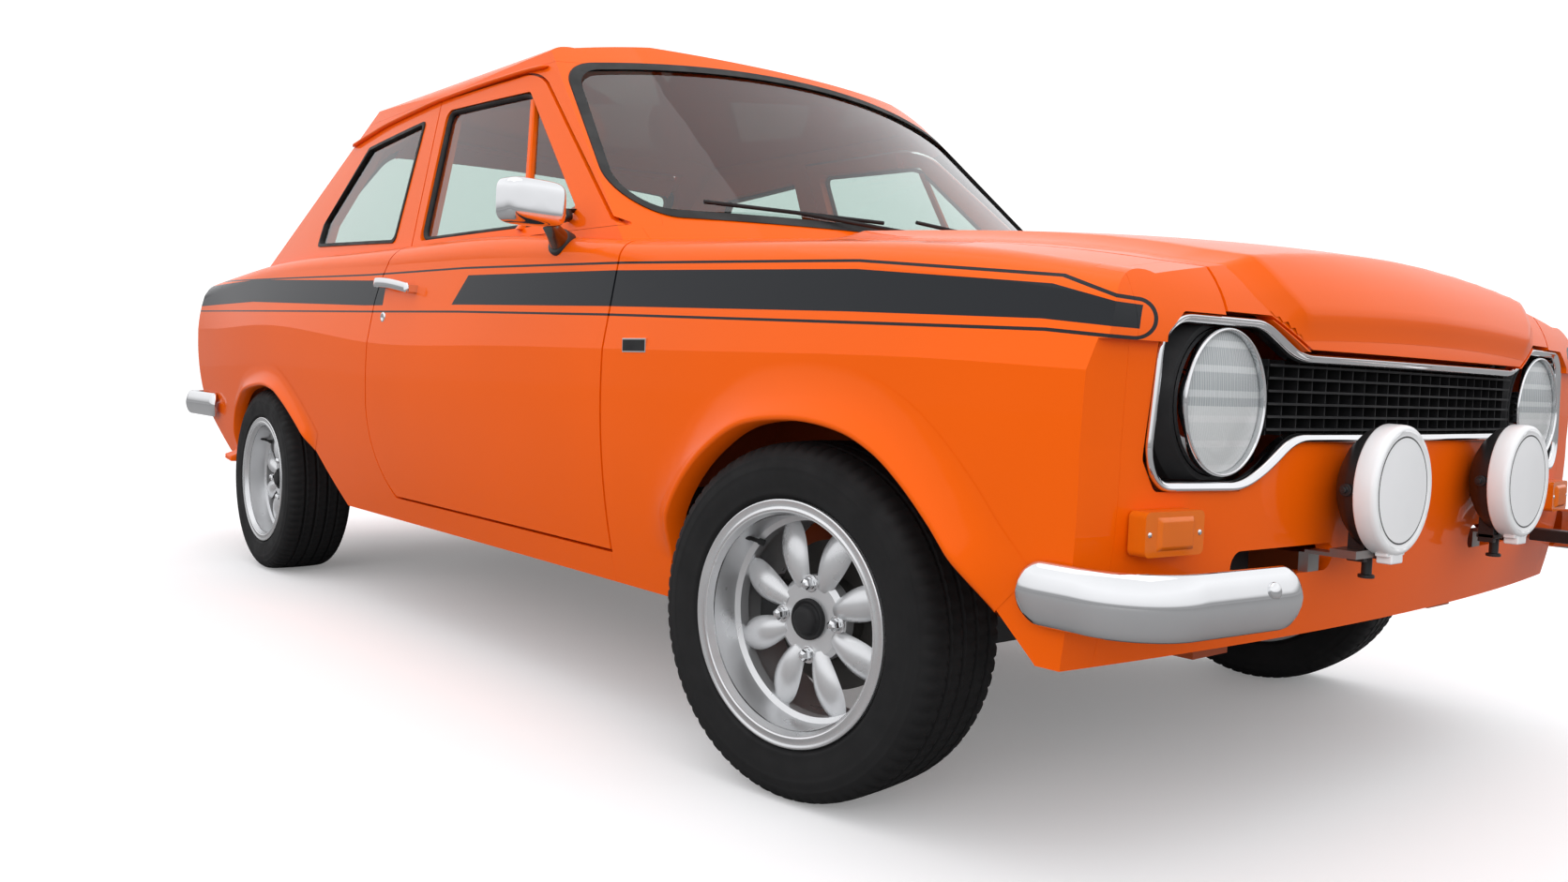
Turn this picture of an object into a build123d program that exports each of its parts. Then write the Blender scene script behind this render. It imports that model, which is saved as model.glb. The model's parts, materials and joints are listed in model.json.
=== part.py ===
"""Two-door rally saloon of the late 1960s: body, glass, lamps, cabin, running gear.

Millimetres. +X forward, +Y to the car's left, +Z up. The origin is on the ground,
midway between the ends of the car, on its centre line.
Every piece is one STEP file, written by the loop at the end.
"""
from build123d import *
import math
import os

os.makedirs("parts", exist_ok=True)

# ---------------------------------------------------------------- driving sizes
FRONT_AXLE_X = 1290.0
WHEELBASE = 2400.0
REAR_AXLE_X = FRONT_AXLE_X - WHEELBASE
WHEEL_Y = 686.0            # wheel centre plane from the centre line
TYRE_R = 268.0
TYRE_W = 186.0
RIM_R = 183.0              # outside of the rim flange
RIM_W = 172.0              # over the rim flanges
STEER_AT_REST = 8.0        # degrees, both front wheels turned left
KING_TOP = (470.0, 800.0)  # |y|, z of the strut's top mount
KING_LOW = (625.0, 170.0)  # |y|, z of the ball joint

NOSE_X = 1872.0            # front panel
TAIL_X = -1905.0           # rear panel
SILL_Z = 255.0
BELT_Z = 905.0             # top of the door below its glass
DRIP_Z = 1288.0            # gutter, where roof and side meet
ROOF_Z = 1378.0

SKIN = 14.0                # wings, lids, roof
DOOR_T = 48.0              # whole door, skin to trim
PILLAR_T = 42.0            # roof pillars and door window frames
GLASS_T = 5.0
SHUT_GAP = 5.5             # round doors and lids
SEAM = 0.4                 # between fixed panels

NOSE_BOW_R = 6000.0        # bow of the front panel, seen from above
TAIL_BOW_R = 8000.0
BOOT_FLOOR_Z = 330.0
SILL_IN_Y = 655.0          # inside face of the sill box
WHEELHOUSE_Y = 560.0       # inside wall of the rear wheelhouse
SCUTTLE_X = 985.0          # rear edge of the bonnet
BONNET_FRONT_Y = 532.0     # half-width of the bonnet at the nose
BONNET_REAR_Y = 632.0      # and at the scuttle
LIP_Z = 690.0              # lower edge of the bonnet's lip at the grille
LAMP_LIP_Z = 730.0         # and over the headlamps
LIP_BEND_Y = 355.0         # where it starts to rise
BOOT_HINGE_X = -1452.0     # front edge of the boot lid
BOOT_Y = 612.0             # half-width of the boot lid
BOOT_LOW_Z = 806.0         # lower edge of the boot lid on the tail

# Lower body, one row for each station along the car.
# Columns: x, crease half-width, crease z, bottom half-width, bottom z,
#          shoulder half-width, shoulder z, deck half-width, deck z, centre z
STATIONS = (
    (-1980, 752, 712, 712, 250, 740, 800, 690, 852, 866),
    (-1600, 772, 716, 728, 250, 752, 842, 700, 884, 908),
    (-1106, 784, 724, 738, 250, 754, 872, 705, 910, 935),
    (-680, 785, 704, 738, 250, 754, 872, 712, 912, 940),
    (-260, 785, 674, 737, 250, 754, 862, 712, 908, 930),
    (350, 785, 670, 737, 250, 756, 850, 712, 900, 925),
    (800, 785, 667, 740, 250, 756, 826, 708, 862, 912),
    (1300, 783, 664, 746, 250, 750, 796, 684, 832, 884),
    (1650, 778, 658, 752, 250, 742, 762, 662, 800, 852),
    (1960, 760, 648, 740, 250, 724, 720, 640, 752, 790),
)

# Greenhouse, one row for each level.
# Columns: z, windscreen corner x, y, windscreen centre x, side y at mid length,
#          rear screen corner x, y, rear screen centre x
LEVELS = (
    (870, 719, 692, 938, 728, -1387, 700, -1460),
    (1288, 283, 600, 456, 612, -771, 597, -850),
    (1420, 145, 571, 304, 575, -577, 564, -657),
)


def yz_face(x, edges):
    """A face in the YZ plane at x, from edges drawn as (y, z)."""
    return Plane((x, 0, 0), x_dir=(0, 1, 0), z_dir=(1, 0, 0)) * make_face(edges)


def ring(points):
    """A closed polygon face in the local plane."""
    return make_face(Polyline(*points, close=True))


def prism_xz(points, y0, y1):
    """A prism across the car: the outline is (x, z), from y0 to y1."""
    plane = Plane((0, y0, 0), x_dir=(1, 0, 0), z_dir=(0, -1, 0))
    return extrude(plane * ring(points), y0 - y1)


def prism_xy(points, z0, z1):
    """An upright prism: the outline is (x, y), from z0 to z1."""
    return extrude(Plane((0, 0, z0), x_dir=(1, 0, 0), z_dir=(0, 0, 1)) * ring(points), z1 - z0)


def prism_yz(points, x0, x1):
    """A prism along the car: the outline is (y, z), from x0 to x1."""
    return extrude(Plane((x0, 0, 0), x_dir=(0, 1, 0), z_dir=(1, 0, 0)) * ring(points), x1 - x0)


def block(x0, x1, y0, y1, z0, z1):
    """A box by its corners."""
    return Pos((x0 + x1) / 2, (y0 + y1) / 2, (z0 + z1) / 2) * Box(
        abs(x1 - x0), abs(y1 - y0), abs(z1 - z0)
    )


def rod(a, b, r):
    """A round bar from a to b."""
    a, b = Vector(*a), Vector(*b)
    return extrude(Plane(a, z_dir=(b - a)) * Circle(r), (b - a).length)


def mirrored(part):
    """The same piece on the other side of the centre line."""
    return mirror(part, about=Plane.XZ)


def body_section(row, side, top, low):
    """One closed section of the lower body, moved in by side, top and low."""
    x, wc, zc, wb, zb, ws, zs, wt, zt, z0 = row
    wc, wb, ws, wt = wc - side, wb - side, ws - side, wt - side
    zb, zs, zt, z0 = zb + low, zs - top, zt - top, z0 - top
    wm, zm = wc - 0.22 * (wc - wb), zb + 0.42 * (zc - zb)
    half = [
        ThreePointArc((wb, zb), (wm, zm), (wc, zc)),
        Line((wc, zc), (ws, zs)),
        ThreePointArc((ws, zs), (ws - 0.27 * (ws - wt), zs + 0.70 * (zt - zs)), (wt, zt)),
    ]
    other = [mirror(e, about=Plane.YZ) for e in half]
    closing = [Line((-wb, zb), (wb, zb)), ThreePointArc((wt, zt), (0, z0), (-wt, zt))]
    return yz_face(x, half + other + closing)


def lower_body(side=0.0, top=0.0, low=0.0):
    """The body below the belt, as one smooth solid."""
    return loft([body_section(r, side, top, low) for r in STATIONS])


def green_section(row, inset):
    """One level of the greenhouse, moved in by inset."""
    z, xf, yf, xfc, ym, xr, yr, xrc = row
    k = inset
    xm = (xf + xr) / 2
    edges = [
        ThreePointArc((xf - k, -yf + k), (xfc - k, 0), (xf - k, yf - k)),
        ThreePointArc((xf - k, yf - k), (xm, ym - k), (xr + k, yr - k)),
        ThreePointArc((xr + k, yr - k), (xrc + k, 0), (xr + k, -yr + k)),
        ThreePointArc((xr + k, -yr + k), (xm, -ym + k), (xf - k, -yf + k)),
    ]
    return Plane((0, 0, z)) * make_face(edges)


def roof_limit(drop):
    """The space under the roof: its shape across the car and its shape along it."""
    rim_z, brow_y, brow_z = DRIP_Z - drop, 545.0, DRIP_Z + 42.0 - drop
    turn = (596.0, DRIP_Z + 28.0 - drop)
    across = make_face(
        [
            Line((-800, 700), (800, 700)),
            Line((800, 700), (800, rim_z)),
            Line((800, rim_z), (612, rim_z)),
            ThreePointArc((612, rim_z), turn, (brow_y, brow_z)),
            ThreePointArc((brow_y, brow_z), (0, ROOF_Z - drop), (-brow_y, brow_z)),
            ThreePointArc((-brow_y, brow_z), (-turn[0], turn[1]), (-612, rim_z)),
            Line((-612, rim_z), (-800, rim_z)),
            Line((-800, rim_z), (-800, 700)),
        ]
    )
    beam = extrude(Plane((-1600, 0, 0), x_dir=(0, 1, 0), z_dir=(1, 0, 0)) * across, 2700)
    along = make_face(
        [
            Line((-1600, 700), (1100, 700)),
            Line((1100, 700), (1100, 1150 - drop)),
            Line((1100, 1150 - drop), (420, 1342 - drop)),
            ThreePointArc((420, 1342 - drop), (-200, ROOF_Z - drop), (-840, 1322 - drop)),
            Line((-840, 1322 - drop), (-1600, 1100 - drop)),
            Line((-1600, 1100 - drop), (-1600, 700)),
        ]
    )
    crown = extrude(Plane((0, 900, 0), x_dir=(1, 0, 0), z_dir=(0, -1, 0)) * along, 1800)
    return beam & crown


def greenhouse(inset=0.0, drop=0.0):
    """The glasshouse and roof, as one solid."""
    sides = loft([green_section(r, inset) for r in LEVELS[:2]], ruled=True)
    cap = loft([green_section(r, inset) for r in LEVELS[1:]], ruled=True)
    return (sides + cap) & roof_limit(drop)


# ---------------------------------------------------------------- outlines seen from the side
FRONT_SHUT_X = 806.0       # wing to door
REAR_SHUT_X = -277.0       # door to rear quarter, at its furthest back
CABIN_FRONT = 845.0        # bulkhead
CABIN_REAR = -985.0        # behind the rear seat
FLOOR_Z = 285.0
HALF = 900.0               # beyond the car's side


def outline_xz(edges, y0, y1):
    """A prism across the car from y0 to y1, its outline made of edges in (x, z)."""
    plane = Plane((0, y0, 0), x_dir=(1, 0, 0), z_dir=(0, -1, 0))
    return extrude(plane * make_face(edges), y0 - y1)


def front_arch(grow, y0, y1):
    """The front wheel opening, grown outwards by grow."""
    g = grow
    return outline_xz(
        [
            Line((985 - g, 200), (1000 - g, 314)),
            ThreePointArc((1000 - g, 314), (1075 - 0.8 * g, 460 + 0.6 * g), (1234, 560 + g)),
            ThreePointArc((1234, 560 + g), (1345, 573 + g), (1441, 564 + g)),
            ThreePointArc((1441, 564 + g), (1560 + 0.7 * g, 505 + 0.7 * g), (1654 + g, 407)),
            Line((1654 + g, 407), (1762 + g, 297)),
            Line((1762 + g, 297), (1762 + g, 200)),
            Line((1762 + g, 200), (985 - g, 200)),
        ],
        y0,
        y1,
    )


def rear_arch(grow, y0, y1):
    """The rear wheel opening, grown outwards by grow."""
    g = grow
    return outline_xz(
        [
            Line((-1395 - g, 200), (-1395 - g, 322)),
            ThreePointArc((-1395 - g, 322), (-1345 - 0.8 * g, 450 + 0.6 * g), (-1215, 534 + g)),
            ThreePointArc((-1215, 534 + g), (-1060, 552 + g), (-904, 525 + g)),
            ThreePointArc((-904, 525 + g), (-770 + 0.6 * g, 455 + 0.8 * g), (-674 + g, 385)),
            Line((-674 + g, 385), (-500 + g, 245)),
            Line((-500 + g, 245), (-500 + g, 200)),
            Line((-500 + g, 200), (-1395 - g, 200)),
        ],
        y0,
        y1,
    )


def door_outline(grow, y0, y1):
    """The whole door with its window frame, grown outwards by grow."""
    g = grow
    x_front, x_rear, z_low = FRONT_SHUT_X + g, REAR_SHUT_X - g, 310.0 - g
    return outline_xz(
        [
            Line((x_front, z_low), (x_front, 862)),
            Line((x_front, 862), (660 + g, 915 + g)),
            Line((660 + g, 915 + g), (275 + g, 1236 + g)),
            ThreePointArc((275 + g, 1236 + g), (215, 1266 + g), (140, 1274 + g)),
            Line((140, 1274 + g), (-252 - g, 1278 + g)),
            Line((-252 - g, 1278 + g), (-180 - g, 908)),
            ThreePointArc((-180 - g, 908), (-238 - g, 850), (x_rear + 6, 770)),
            Line((x_rear + 6, 770), (x_rear, 540)),
            ThreePointArc((x_rear, 540), (-252 - 0.9 * g, 410), (-158 - 0.6 * g, z_low)),
            Line((-158 - 0.6 * g, z_low), (x_front, z_low)),
        ],
        y0,
        y1,
    )


# ---------------------------------------------------------------- the body as solids
def turned(edges, axis_x):
    """A bowed cutting solid: edges in (x, z), swept a few degrees about an upright axis."""
    face = Plane.XZ * make_face(edges)
    axis = Axis((axis_x, 0, 0), (0, 0, 1))
    return revolve(face, axis, 10) + revolve(face, axis, -10)


def nose_cut(back=0.0, under_z=296.0):
    """What lies ahead of the nose and under the valance, moved back by back."""
    x = NOSE_X - back
    edges = [
        Line((1700, 180), (1700, under_z)),
        Line((1700, under_z), (x - 26, under_z)),
        Line((x - 26, under_z), (x - 26, 296.5)),
        ThreePointArc((x - 26, 296.5), (x - 6, 420), (x, 560)),
        Line((x, 560), (x + 4, LIP_Z - 3)),
        Line((x + 4, LIP_Z - 3), (x + 16, LIP_Z - 3)),
        ThreePointArc((x + 16, LIP_Z - 3), (x - 12, 776), (x - 92, 840)),
        Line((x - 92, 840), (x - 150, 1000)),
        Line((x - 150, 1000), (2200, 1000)),
        Line((2200, 1000), (2200, 180)),
        Line((2200, 180), (1700, 180)),
    ]
    return turned(edges, NOSE_X - NOSE_BOW_R)


def tail_cut(fore=0.0):
    """What lies behind the tail and under the rear quarters, moved forward by fore."""
    x = TAIL_X + fore
    edges = [
        Line((-1380, 180), (-1380, 324)),
        Line((-1380, 324), (-1540 + fore, 324)),
        Line((-1540 + fore, 324), (x + 135, 450)),
        ThreePointArc((x + 135, 450), (x + 52, 545), (x + 8, 664)),
        Line((x + 8, 664), (x, 722)),
        ThreePointArc((x, 722), (x + 12, 800), (x + 58, 842)),
        Line((x + 58, 842), (x + 120, 1000)),
        Line((x + 120, 1000), (-2200, 1000)),
        Line((-2200, 1000), (-2200, 180)),
        Line((-2200, 180), (-1380, 180)),
    ]
    return turned(edges, TAIL_X + TAIL_BOW_R)


def body_shell():
    """The painted shell as one solid: outside form less cabin, boot and engine bay."""
    outside = lower_body() - nose_cut() - tail_cut() + greenhouse()
    cabin_low = lower_body(DOOR_T + 4, SKIN + 2, 0) & block(
        CABIN_REAR, CABIN_FRONT, -HALF, HALF, FLOOR_Z, 1000
    )
    cabin_top = greenhouse(PILLAR_T, SKIN + 2) & block(-1600, 1000, -HALF, HALF, 872, 1500)
    boot = lower_body(SKIN + 10, SKIN, 0) & block(
        -2100, CABIN_REAR + 1, -HALF, HALF, BOOT_FLOOR_Z + 4, 1000
    )
    engine_bay = lower_body(SKIN, SKIN, 0) & block(
        CABIN_FRONT + 16, 2100, -HALF, HALF, 200, 1000
    )
    engine_bay -= nose_cut(24, 190)
    boot -= tail_cut(20)
    under = block(-2100, 1760, -SILL_IN_Y, SILL_IN_Y, 200, FLOOR_Z)
    under_boot = block(-2100, CABIN_REAR, -720, 720, 200, BOOT_FLOOR_Z + 2)
    shell = outside - cabin_low - cabin_top - boot - engine_bay - under - under_boot
    for y0, y1 in ((-HALF, -430), (430, HALF)):
        shell -= front_arch(0, y0, y1)
    for y0, y1 in ((-HALF, -WHEELHOUSE_Y), (WHEELHOUSE_Y, HALF)):
        shell -= rear_arch(0, y0, y1)
    return shell


# ---------------------------------------------------------------- openings for glass
def windscreen_hole(grow, x0, x1):
    """The windscreen aperture seen from the front, grown by grow."""
    g = grow
    return aperture_yz(676.0 + g, 924.0 - g, 590.0 + g, 1326.0 + g, 42.0, 84.0 + g, x0, x1)


def rear_window_hole(grow, x0, x1):
    """The rear window aperture seen from behind."""
    g = grow
    return aperture_yz(600.0 + g, 968.0 - g, 512.0 + g, 1262.0 + g, 18.0, 70.0 + g, x0, x1)


def aperture_yz(low_y, low_z, top_y, top_z, crown, r, x0, x1):
    """A rounded trapezium across the car, crowned at its top edge, from x0 to x1."""
    face = make_face(
        [
            Line((-low_y, low_z), (low_y, low_z)),
            Line((low_y, low_z), (top_y, top_z - crown)),
            ThreePointArc((top_y, top_z - crown), (0, top_z), (-top_y, top_z - crown)),
            Line((-top_y, top_z - crown), (-low_y, low_z)),
        ]
    )
    face = fillet(face.vertices(), r)
    return extrude(Plane((x0, 0, 0), x_dir=(0, 1, 0), z_dir=(1, 0, 0)) * face, x1 - x0)


def rounded_xz(points, r, y0, y1):
    """A prism across the car with its corners rounded by r."""
    face = fillet(ring(points).vertices(), r)
    return extrude(Plane((0, y0, 0), x_dir=(1, 0, 0), z_dir=(0, -1, 0)) * face, y0 - y1)


def offset_points(points, g):
    """The points of a convex outline moved outwards by about g from its middle."""
    cx = sum(p[0] for p in points) / len(points)
    cz = sum(p[1] for p in points) / len(points)
    return [
        (x + g * math.copysign(1, x - cx), z + g * math.copysign(1, z - cz)) for x, z in points
    ]


DOOR_WINDOW = ((560, 918), (-148, 918), (-202, 1246), (208, 1232))
QUARTER_WINDOW = ((-290, 922), (-872, 946), (-880, 1010), (-690, 1214), (-318, 1238))


def door_window(grow, y0, y1):
    """The glass opening in the door frame."""
    return rounded_xz(offset_points(DOOR_WINDOW, grow), 22.0, y0, y1)


def quarter_window(grow, y0, y1):
    """The fixed side window behind the door."""
    return rounded_xz(offset_points(QUARTER_WINDOW, grow), 16.0, y0, y1)


# Chrome frame round the grille and headlamps, half of it: |y|, z.
FRAME_TOP_Z = LIP_Z - 5.0
FRAME_HALF = (
    (LIP_BEND_Y + 6, FRAME_TOP_Z),
    (LIP_BEND_Y + 90, FRAME_TOP_Z + 40),
    (618, FRAME_TOP_Z + 40),
    (652, FRAME_TOP_Z + 12),
    (666, 546),
    (642, 508),
    (478, 505),
    (430, 524),
    (LIP_BEND_Y + 8, 566),
)
CORNER_X, CORNER_Y = NOSE_X - 92.0, 704.0      # front panel to wing seam


def frame_prism(grow, x0, x1):
    """The outline of the chrome frame, grown by grow, as a prism along the car."""
    left = [(-y, z) for y, z in reversed(FRAME_HALF)]
    face = fillet(ring(list(FRAME_HALF) + left).vertices(), 12)
    if grow:
        face = offset(face, amount=grow, kind=Kind.INTERSECTION)
    return extrude(Plane((x0, 0, 0), x_dir=(0, 1, 0), z_dir=(1, 0, 0)) * face, x1 - x0)


def bowed(x0, x1, z0, z1, bow_x=None):
    """A layer that follows the bow of the nose: x0 and x1 count from NOSE_X."""
    face = Plane.XZ * Pos((x0 + x1) / 2 + NOSE_X, (z0 + z1) / 2) * Rectangle(x1 - x0, z1 - z0)
    axis = Axis((NOSE_X - NOSE_BOW_R, 0, 0), (0, 0, 1))
    return revolve(face, axis, 8) + revolve(face, axis, -8)


SLOT = (233.0, 475.0, 387.0, 426.0)            # air slot in the valance: |y| and z


def valance_slot(sign):
    """One of the two air slots, rounded at its ends."""
    y0, y1, z0, z1 = SLOT
    face = Pos(sign * (y0 + y1) / 2, (z0 + z1) / 2) * RectangleRounded(y1 - y0, z1 - z0, 18)
    plane = Plane((CORNER_X, 0, 0), x_dir=(0, 1, 0), z_dir=(1, 0, 0))
    return extrude(plane * face, 300)


parts = {}
RIGHT = (-HALF, -400.0)    # the car's right side, as a span of y
LEFT = (400.0, HALF)
SIDES = (("right", -1, RIGHT), ("left", 1, LEFT))


def side_region(sign, low_y, sill_y, top_y, x0, x1):
    """What lies outboard of the cabin: below the belt past low_y, above it past a leaning line."""
    points = [
        (sign * low_y, 0),
        (sign * low_y, 780),
        (sign * sill_y, 800),
        (sign * sill_y, BELT_Z - 6),
        (sign * (sill_y - 36), BELT_Z - 2),
        (sign * top_y, DRIP_Z + 12),
        (sign * top_y, 1500),
        (sign * HALF, 1500),
        (sign * HALF, 0),
    ]
    return prism_yz(points, x0, x1)


def bonnet_plan(grow, z0, z1):
    """The bonnet's outline from above, narrow at the nose and wide at the scuttle."""
    g, ahead = grow, 2100.0
    slope = (BONNET_REAR_Y - BONNET_FRONT_Y) / (NOSE_X - SCUTTLE_X)
    tip = BONNET_FRONT_Y - slope * (ahead - NOSE_X)
    return prism_xy(
        [
            (SCUTTLE_X - g, -BONNET_REAR_Y - g),
            (ahead, -tip - g),
            (ahead, tip + g),
            (SCUTTLE_X - g, BONNET_REAR_Y + g),
        ],
        z0,
        z1,
    )


def lip_region(grow):
    """What lies above the bonnet's lip, which is higher over the headlamps."""
    g = grow
    low, high = LIP_Z - g, LAMP_LIP_Z - g
    half = [(LIP_BEND_Y - 0.4 * g, low), (LIP_BEND_Y + 88 - 0.4 * g, high), (HALF, high), (HALF, 1000)]
    other = [(-y, z) for y, z in reversed(half)]
    return prism_yz(half + other, 0, 2100)


def boot_plan(grow, z0, z1):
    """The boot lid's outline from above."""
    g = grow
    return prism_xy(
        [
            (-2100, -BOOT_Y - g),
            (BOOT_HINGE_X + g, -BOOT_Y + 30 - g),
            (BOOT_HINGE_X + g, BOOT_Y - 30 + g),
            (-2100, BOOT_Y + g),
        ],
        z0,
        z1,
    )


# ---------------------------------------------------------------- painted panels
SHELL = body_shell()
SHELL -= windscreen_hole(0, 150, 1000) + rear_window_hole(0, -1600, -640)
for _, _, span in SIDES:
    SHELL -= quarter_window(0, *span)

SHELL -= frame_prism(SEAM, CORNER_X, 2100)
for sign in (-1, 1):
    SHELL -= valance_slot(sign)
parts["bonnet"] = SHELL & bonnet_plan(0, 600, 1000) & lip_region(0)
SHELL -= bonnet_plan(SHUT_GAP, 600, 1000) & lip_region(SHUT_GAP)
parts["boot_lid"] = SHELL & boot_plan(0, BOOT_LOW_Z, 1000)
SHELL -= boot_plan(SHUT_GAP, BOOT_LOW_Z - SHUT_GAP, 1000)
for name, sign, span in SIDES:
    door_zone = side_region(sign, 640, 704, 530, -1000, 1000)
    parts["door_" + name] = (SHELL & door_outline(0, *span) & door_zone) - door_window(0, *span)
    SHELL -= door_outline(SHUT_GAP, *span) & side_region(sign, 500, 698, 500, -1000, 1000)

parts["roof_panel"] = SHELL & block(-1600, 1000, -HALF, HALF, DRIP_Z, 1500)
body = SHELL & block(-2100, 2100, -HALF, HALF, 0, DRIP_Z - SEAM)
parts["front_panel"] = body & block(CORNER_X, 2100, -CORNER_Y, CORNER_Y, 0, 1000)
wings = body & block(FRONT_SHUT_X + SEAM, 2100, -HALF, HALF, 0, 1000)
wings -= block(CORNER_X - SEAM, 2100, -CORNER_Y - SEAM, CORNER_Y + SEAM, 0, 1000)
INNER_Y = BONNET_REAR_Y + SHUT_GAP
wings -= block(0, SCUTTLE_X + 40, -INNER_Y - SEAM, INNER_Y + SEAM, 0, 1000)
cabin = body & block(TAIL_X - 50, FRONT_SHUT_X, -HALF, HALF, 0, 1500)
for name, sign, span in SIDES:
    parts["front_wing_" + name] = wings & block(0, 2100, 0, sign * HALF, 0, 1000)
    parts["body_side_" + name] = cabin & side_region(sign, 648, 648, 460, -2100, 1000)
not_sides = block(-2100, 1000, -HALF, HALF, 0, 1500)
for _, sign, _ in SIDES:
    not_sides -= side_region(sign, 648 - SEAM, 648 - SEAM, 460 - SEAM, -2100, 1000)
scuttle = body & block(FRONT_SHUT_X + SEAM, SCUTTLE_X, -INNER_Y, INNER_Y, 700, 1500)
scuttle += body & not_sides & block(560, FRONT_SHUT_X + SEAM, -HALF, HALF, 700, 1500)
parts["scuttle_panel"] = scuttle.solids().sort_by(SortBy.VOLUME)[-1]
parts["rear_deck"] = body & not_sides & block(-1660, -900, -HALF, HALF, 800, 1500)
parts["rear_panel"] = body & not_sides & block(-2100, -1660 - SEAM, -HALF, HALF, 200, 1500)


# ---------------------------------------------------------------- floors and inner panels
PLATE = 6.0
TUNNEL_Y, TUNNEL_TOP = 130.0, 420.0
floor = block(CABIN_REAR, CABIN_FRONT, -SILL_IN_Y - 30, SILL_IN_Y + 30, FLOOR_Z + 0.5, FLOOR_Z + PLATE)
tunnel = block(CABIN_REAR, CABIN_FRONT, -TUNNEL_Y, TUNNEL_Y, FLOOR_Z + 0.5, TUNNEL_TOP)
tunnel_hollow = block(
    CABIN_REAR - 1, CABIN_FRONT + 1, -TUNNEL_Y + PLATE, TUNNEL_Y - PLATE, 200, TUNNEL_TOP - PLATE
)
HUMP_X, HUMP_Z = -1262.0, 446.0                # raised floor over the rear axle
boot_z = BOOT_FLOOR_Z + 2.5
boot_plate = block(-1700, HUMP_X, -694, 694, boot_z, boot_z + PLATE)
boot_plate += block(HUMP_X - PLATE, HUMP_X, -694, 694, boot_z, HUMP_Z)
boot_plate += block(HUMP_X, CABIN_REAR, -694, 694, HUMP_Z - PLATE, HUMP_Z)
heel = block(CABIN_REAR - PLATE, CABIN_REAR, -SILL_IN_Y - 30, SILL_IN_Y + 30, FLOOR_Z + 0.5, HUMP_Z)
heel -= block(CABIN_REAR - 10, CABIN_REAR + 5, -TUNNEL_Y + PLATE, TUNNEL_Y - PLATE, 200, TUNNEL_TOP - PLATE)
pan = floor + tunnel - tunnel_hollow + boot_plate + heel
for _, sign, _ in SIDES:
    house = rear_arch(PLATE, *sorted((sign * (WHEELHOUSE_Y - PLATE), sign * 728)))
    pan = pan + (house & block(-2100, CABIN_FRONT, -730, 730, FLOOR_Z + 0.5, 1000))
    pan -= rear_arch(0, *sorted((sign * WHEELHOUSE_Y, sign * 760)))
pan -= block(REAR_AXLE_X - 60, REAR_AXLE_X + 60, -700, 700, 200, 330)
parts["floor_pan"] = pan - parts["body_side_right"] - parts["body_side_left"]

WALL_IN_Y = 424.0          # inner wing, clear of the steered wheel
bulkhead = block(CABIN_FRONT, CABIN_FRONT + 16, 3 - INNER_Y, INNER_Y - 3, TUNNEL_TOP + 2, 700 - SEAM)
bay = bulkhead
for _, sign, _ in SIDES:
    y0, y1 = sorted((sign * WALL_IN_Y, sign * (WALL_IN_Y - PLATE)))
    bay += block(CABIN_FRONT, 1700, y0, y1, 300, 690)
    y0, y1 = sorted((sign * (WALL_IN_Y - PLATE), sign * INNER_Y))
    bay += block(CABIN_FRONT, 1700, y0, y1, 690, 690 + PLATE)
    rail0, rail1 = sorted((sign * 330, sign * (WALL_IN_Y - PLATE)))
    bay += block(CABIN_FRONT, 1765, rail0, rail1, 262, 330)
    y0, y1 = sorted((sign * WALL_IN_Y, sign * 600))
    bay += block(FRONT_AXLE_X - 110, FRONT_AXLE_X + 110, y0, y1, 690, 770)
bay += block(1715, 1765, -640, 640, 300, 330)
parts["engine_bay"] = bay


# ---------------------------------------------------------------- glass
def glass_skin(depth):
    """A thin skin following the greenhouse, depth below its surface."""
    return greenhouse(depth, depth) - greenhouse(depth + GLASS_T, depth + GLASS_T)


RUBBER_W = 17.0            # rubber seal, seen from outside
skin = glass_skin(5)
rubber_skin = greenhouse(-3, -3) - greenhouse(16, 16)
quarter_glass = {}
windscreen = skin & windscreen_hole(-RUBBER_W, 150, 1000)
rear_window = skin & rear_window_hole(-RUBBER_W, -1600, -640)
screen_ring = windscreen_hole(-0.4, 150, 1000) - windscreen_hole(-RUBBER_W + 0.4, 140, 1010)
for _, _, span in SIDES:
    screen_ring -= door_outline(SHUT_GAP, *span)
rubbers = rubber_skin & screen_ring
rubbers += rubber_skin & (
    rear_window_hole(-0.4, -1600, -640) - rear_window_hole(-RUBBER_W + 0.4, -1610, -630)
)
door_skin = glass_skin(14)
for name, sign, span in SIDES:
    quarter_glass[name] = skin & quarter_window(-9, *span)
    rubbers += rubber_skin & (quarter_window(-0.4, *span) - quarter_window(-8.6, *span))
    parts["door_glass_" + name] = door_skin & door_window(-0.4, *span)
parts["fixed_glass"] = windscreen + rear_window + quarter_glass["right"] + quarter_glass["left"]
parts["window_rubbers"] = rubbers


# ---------------------------------------------------------------- nose
LAMP_Y, LAMP_Z, LAMP_R = 519.0, 617.5, 93.0    # headlamps
SPOT_Y, SPOT_Z, SPOT_R = 221.5, 506.0, 89.0    # spot lamps
SPOT_X = 1949.0                                # their front faces
FRAME_W = 13.0                                 # chrome frame, seen from the front
GRILLE_BACK = -48.0                            # black panel behind the slats, from NOSE_X


def spun_x(edges, x, y, z):
    """A turned piece with its axis along the car: edges in (x, r) from a centre."""
    return Pos(x, y, z) * revolve(make_face(edges), Axis.X, 360)


def polygon(points):
    """The edges of a closed polygon."""
    return Polyline(*points, close=True).edges()


def lamp_face_x(y):
    """Where the nose lies at this distance from the centre line."""
    return NOSE_X - y * y / (2 * NOSE_BOW_R)


frame = bowed(-18, 4, 480, 760) & frame_prism(0, CORNER_X, 2100)
parts["grille_surround"] = frame - frame_prism(-FRAME_W, CORNER_X - 10, 2110)

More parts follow.
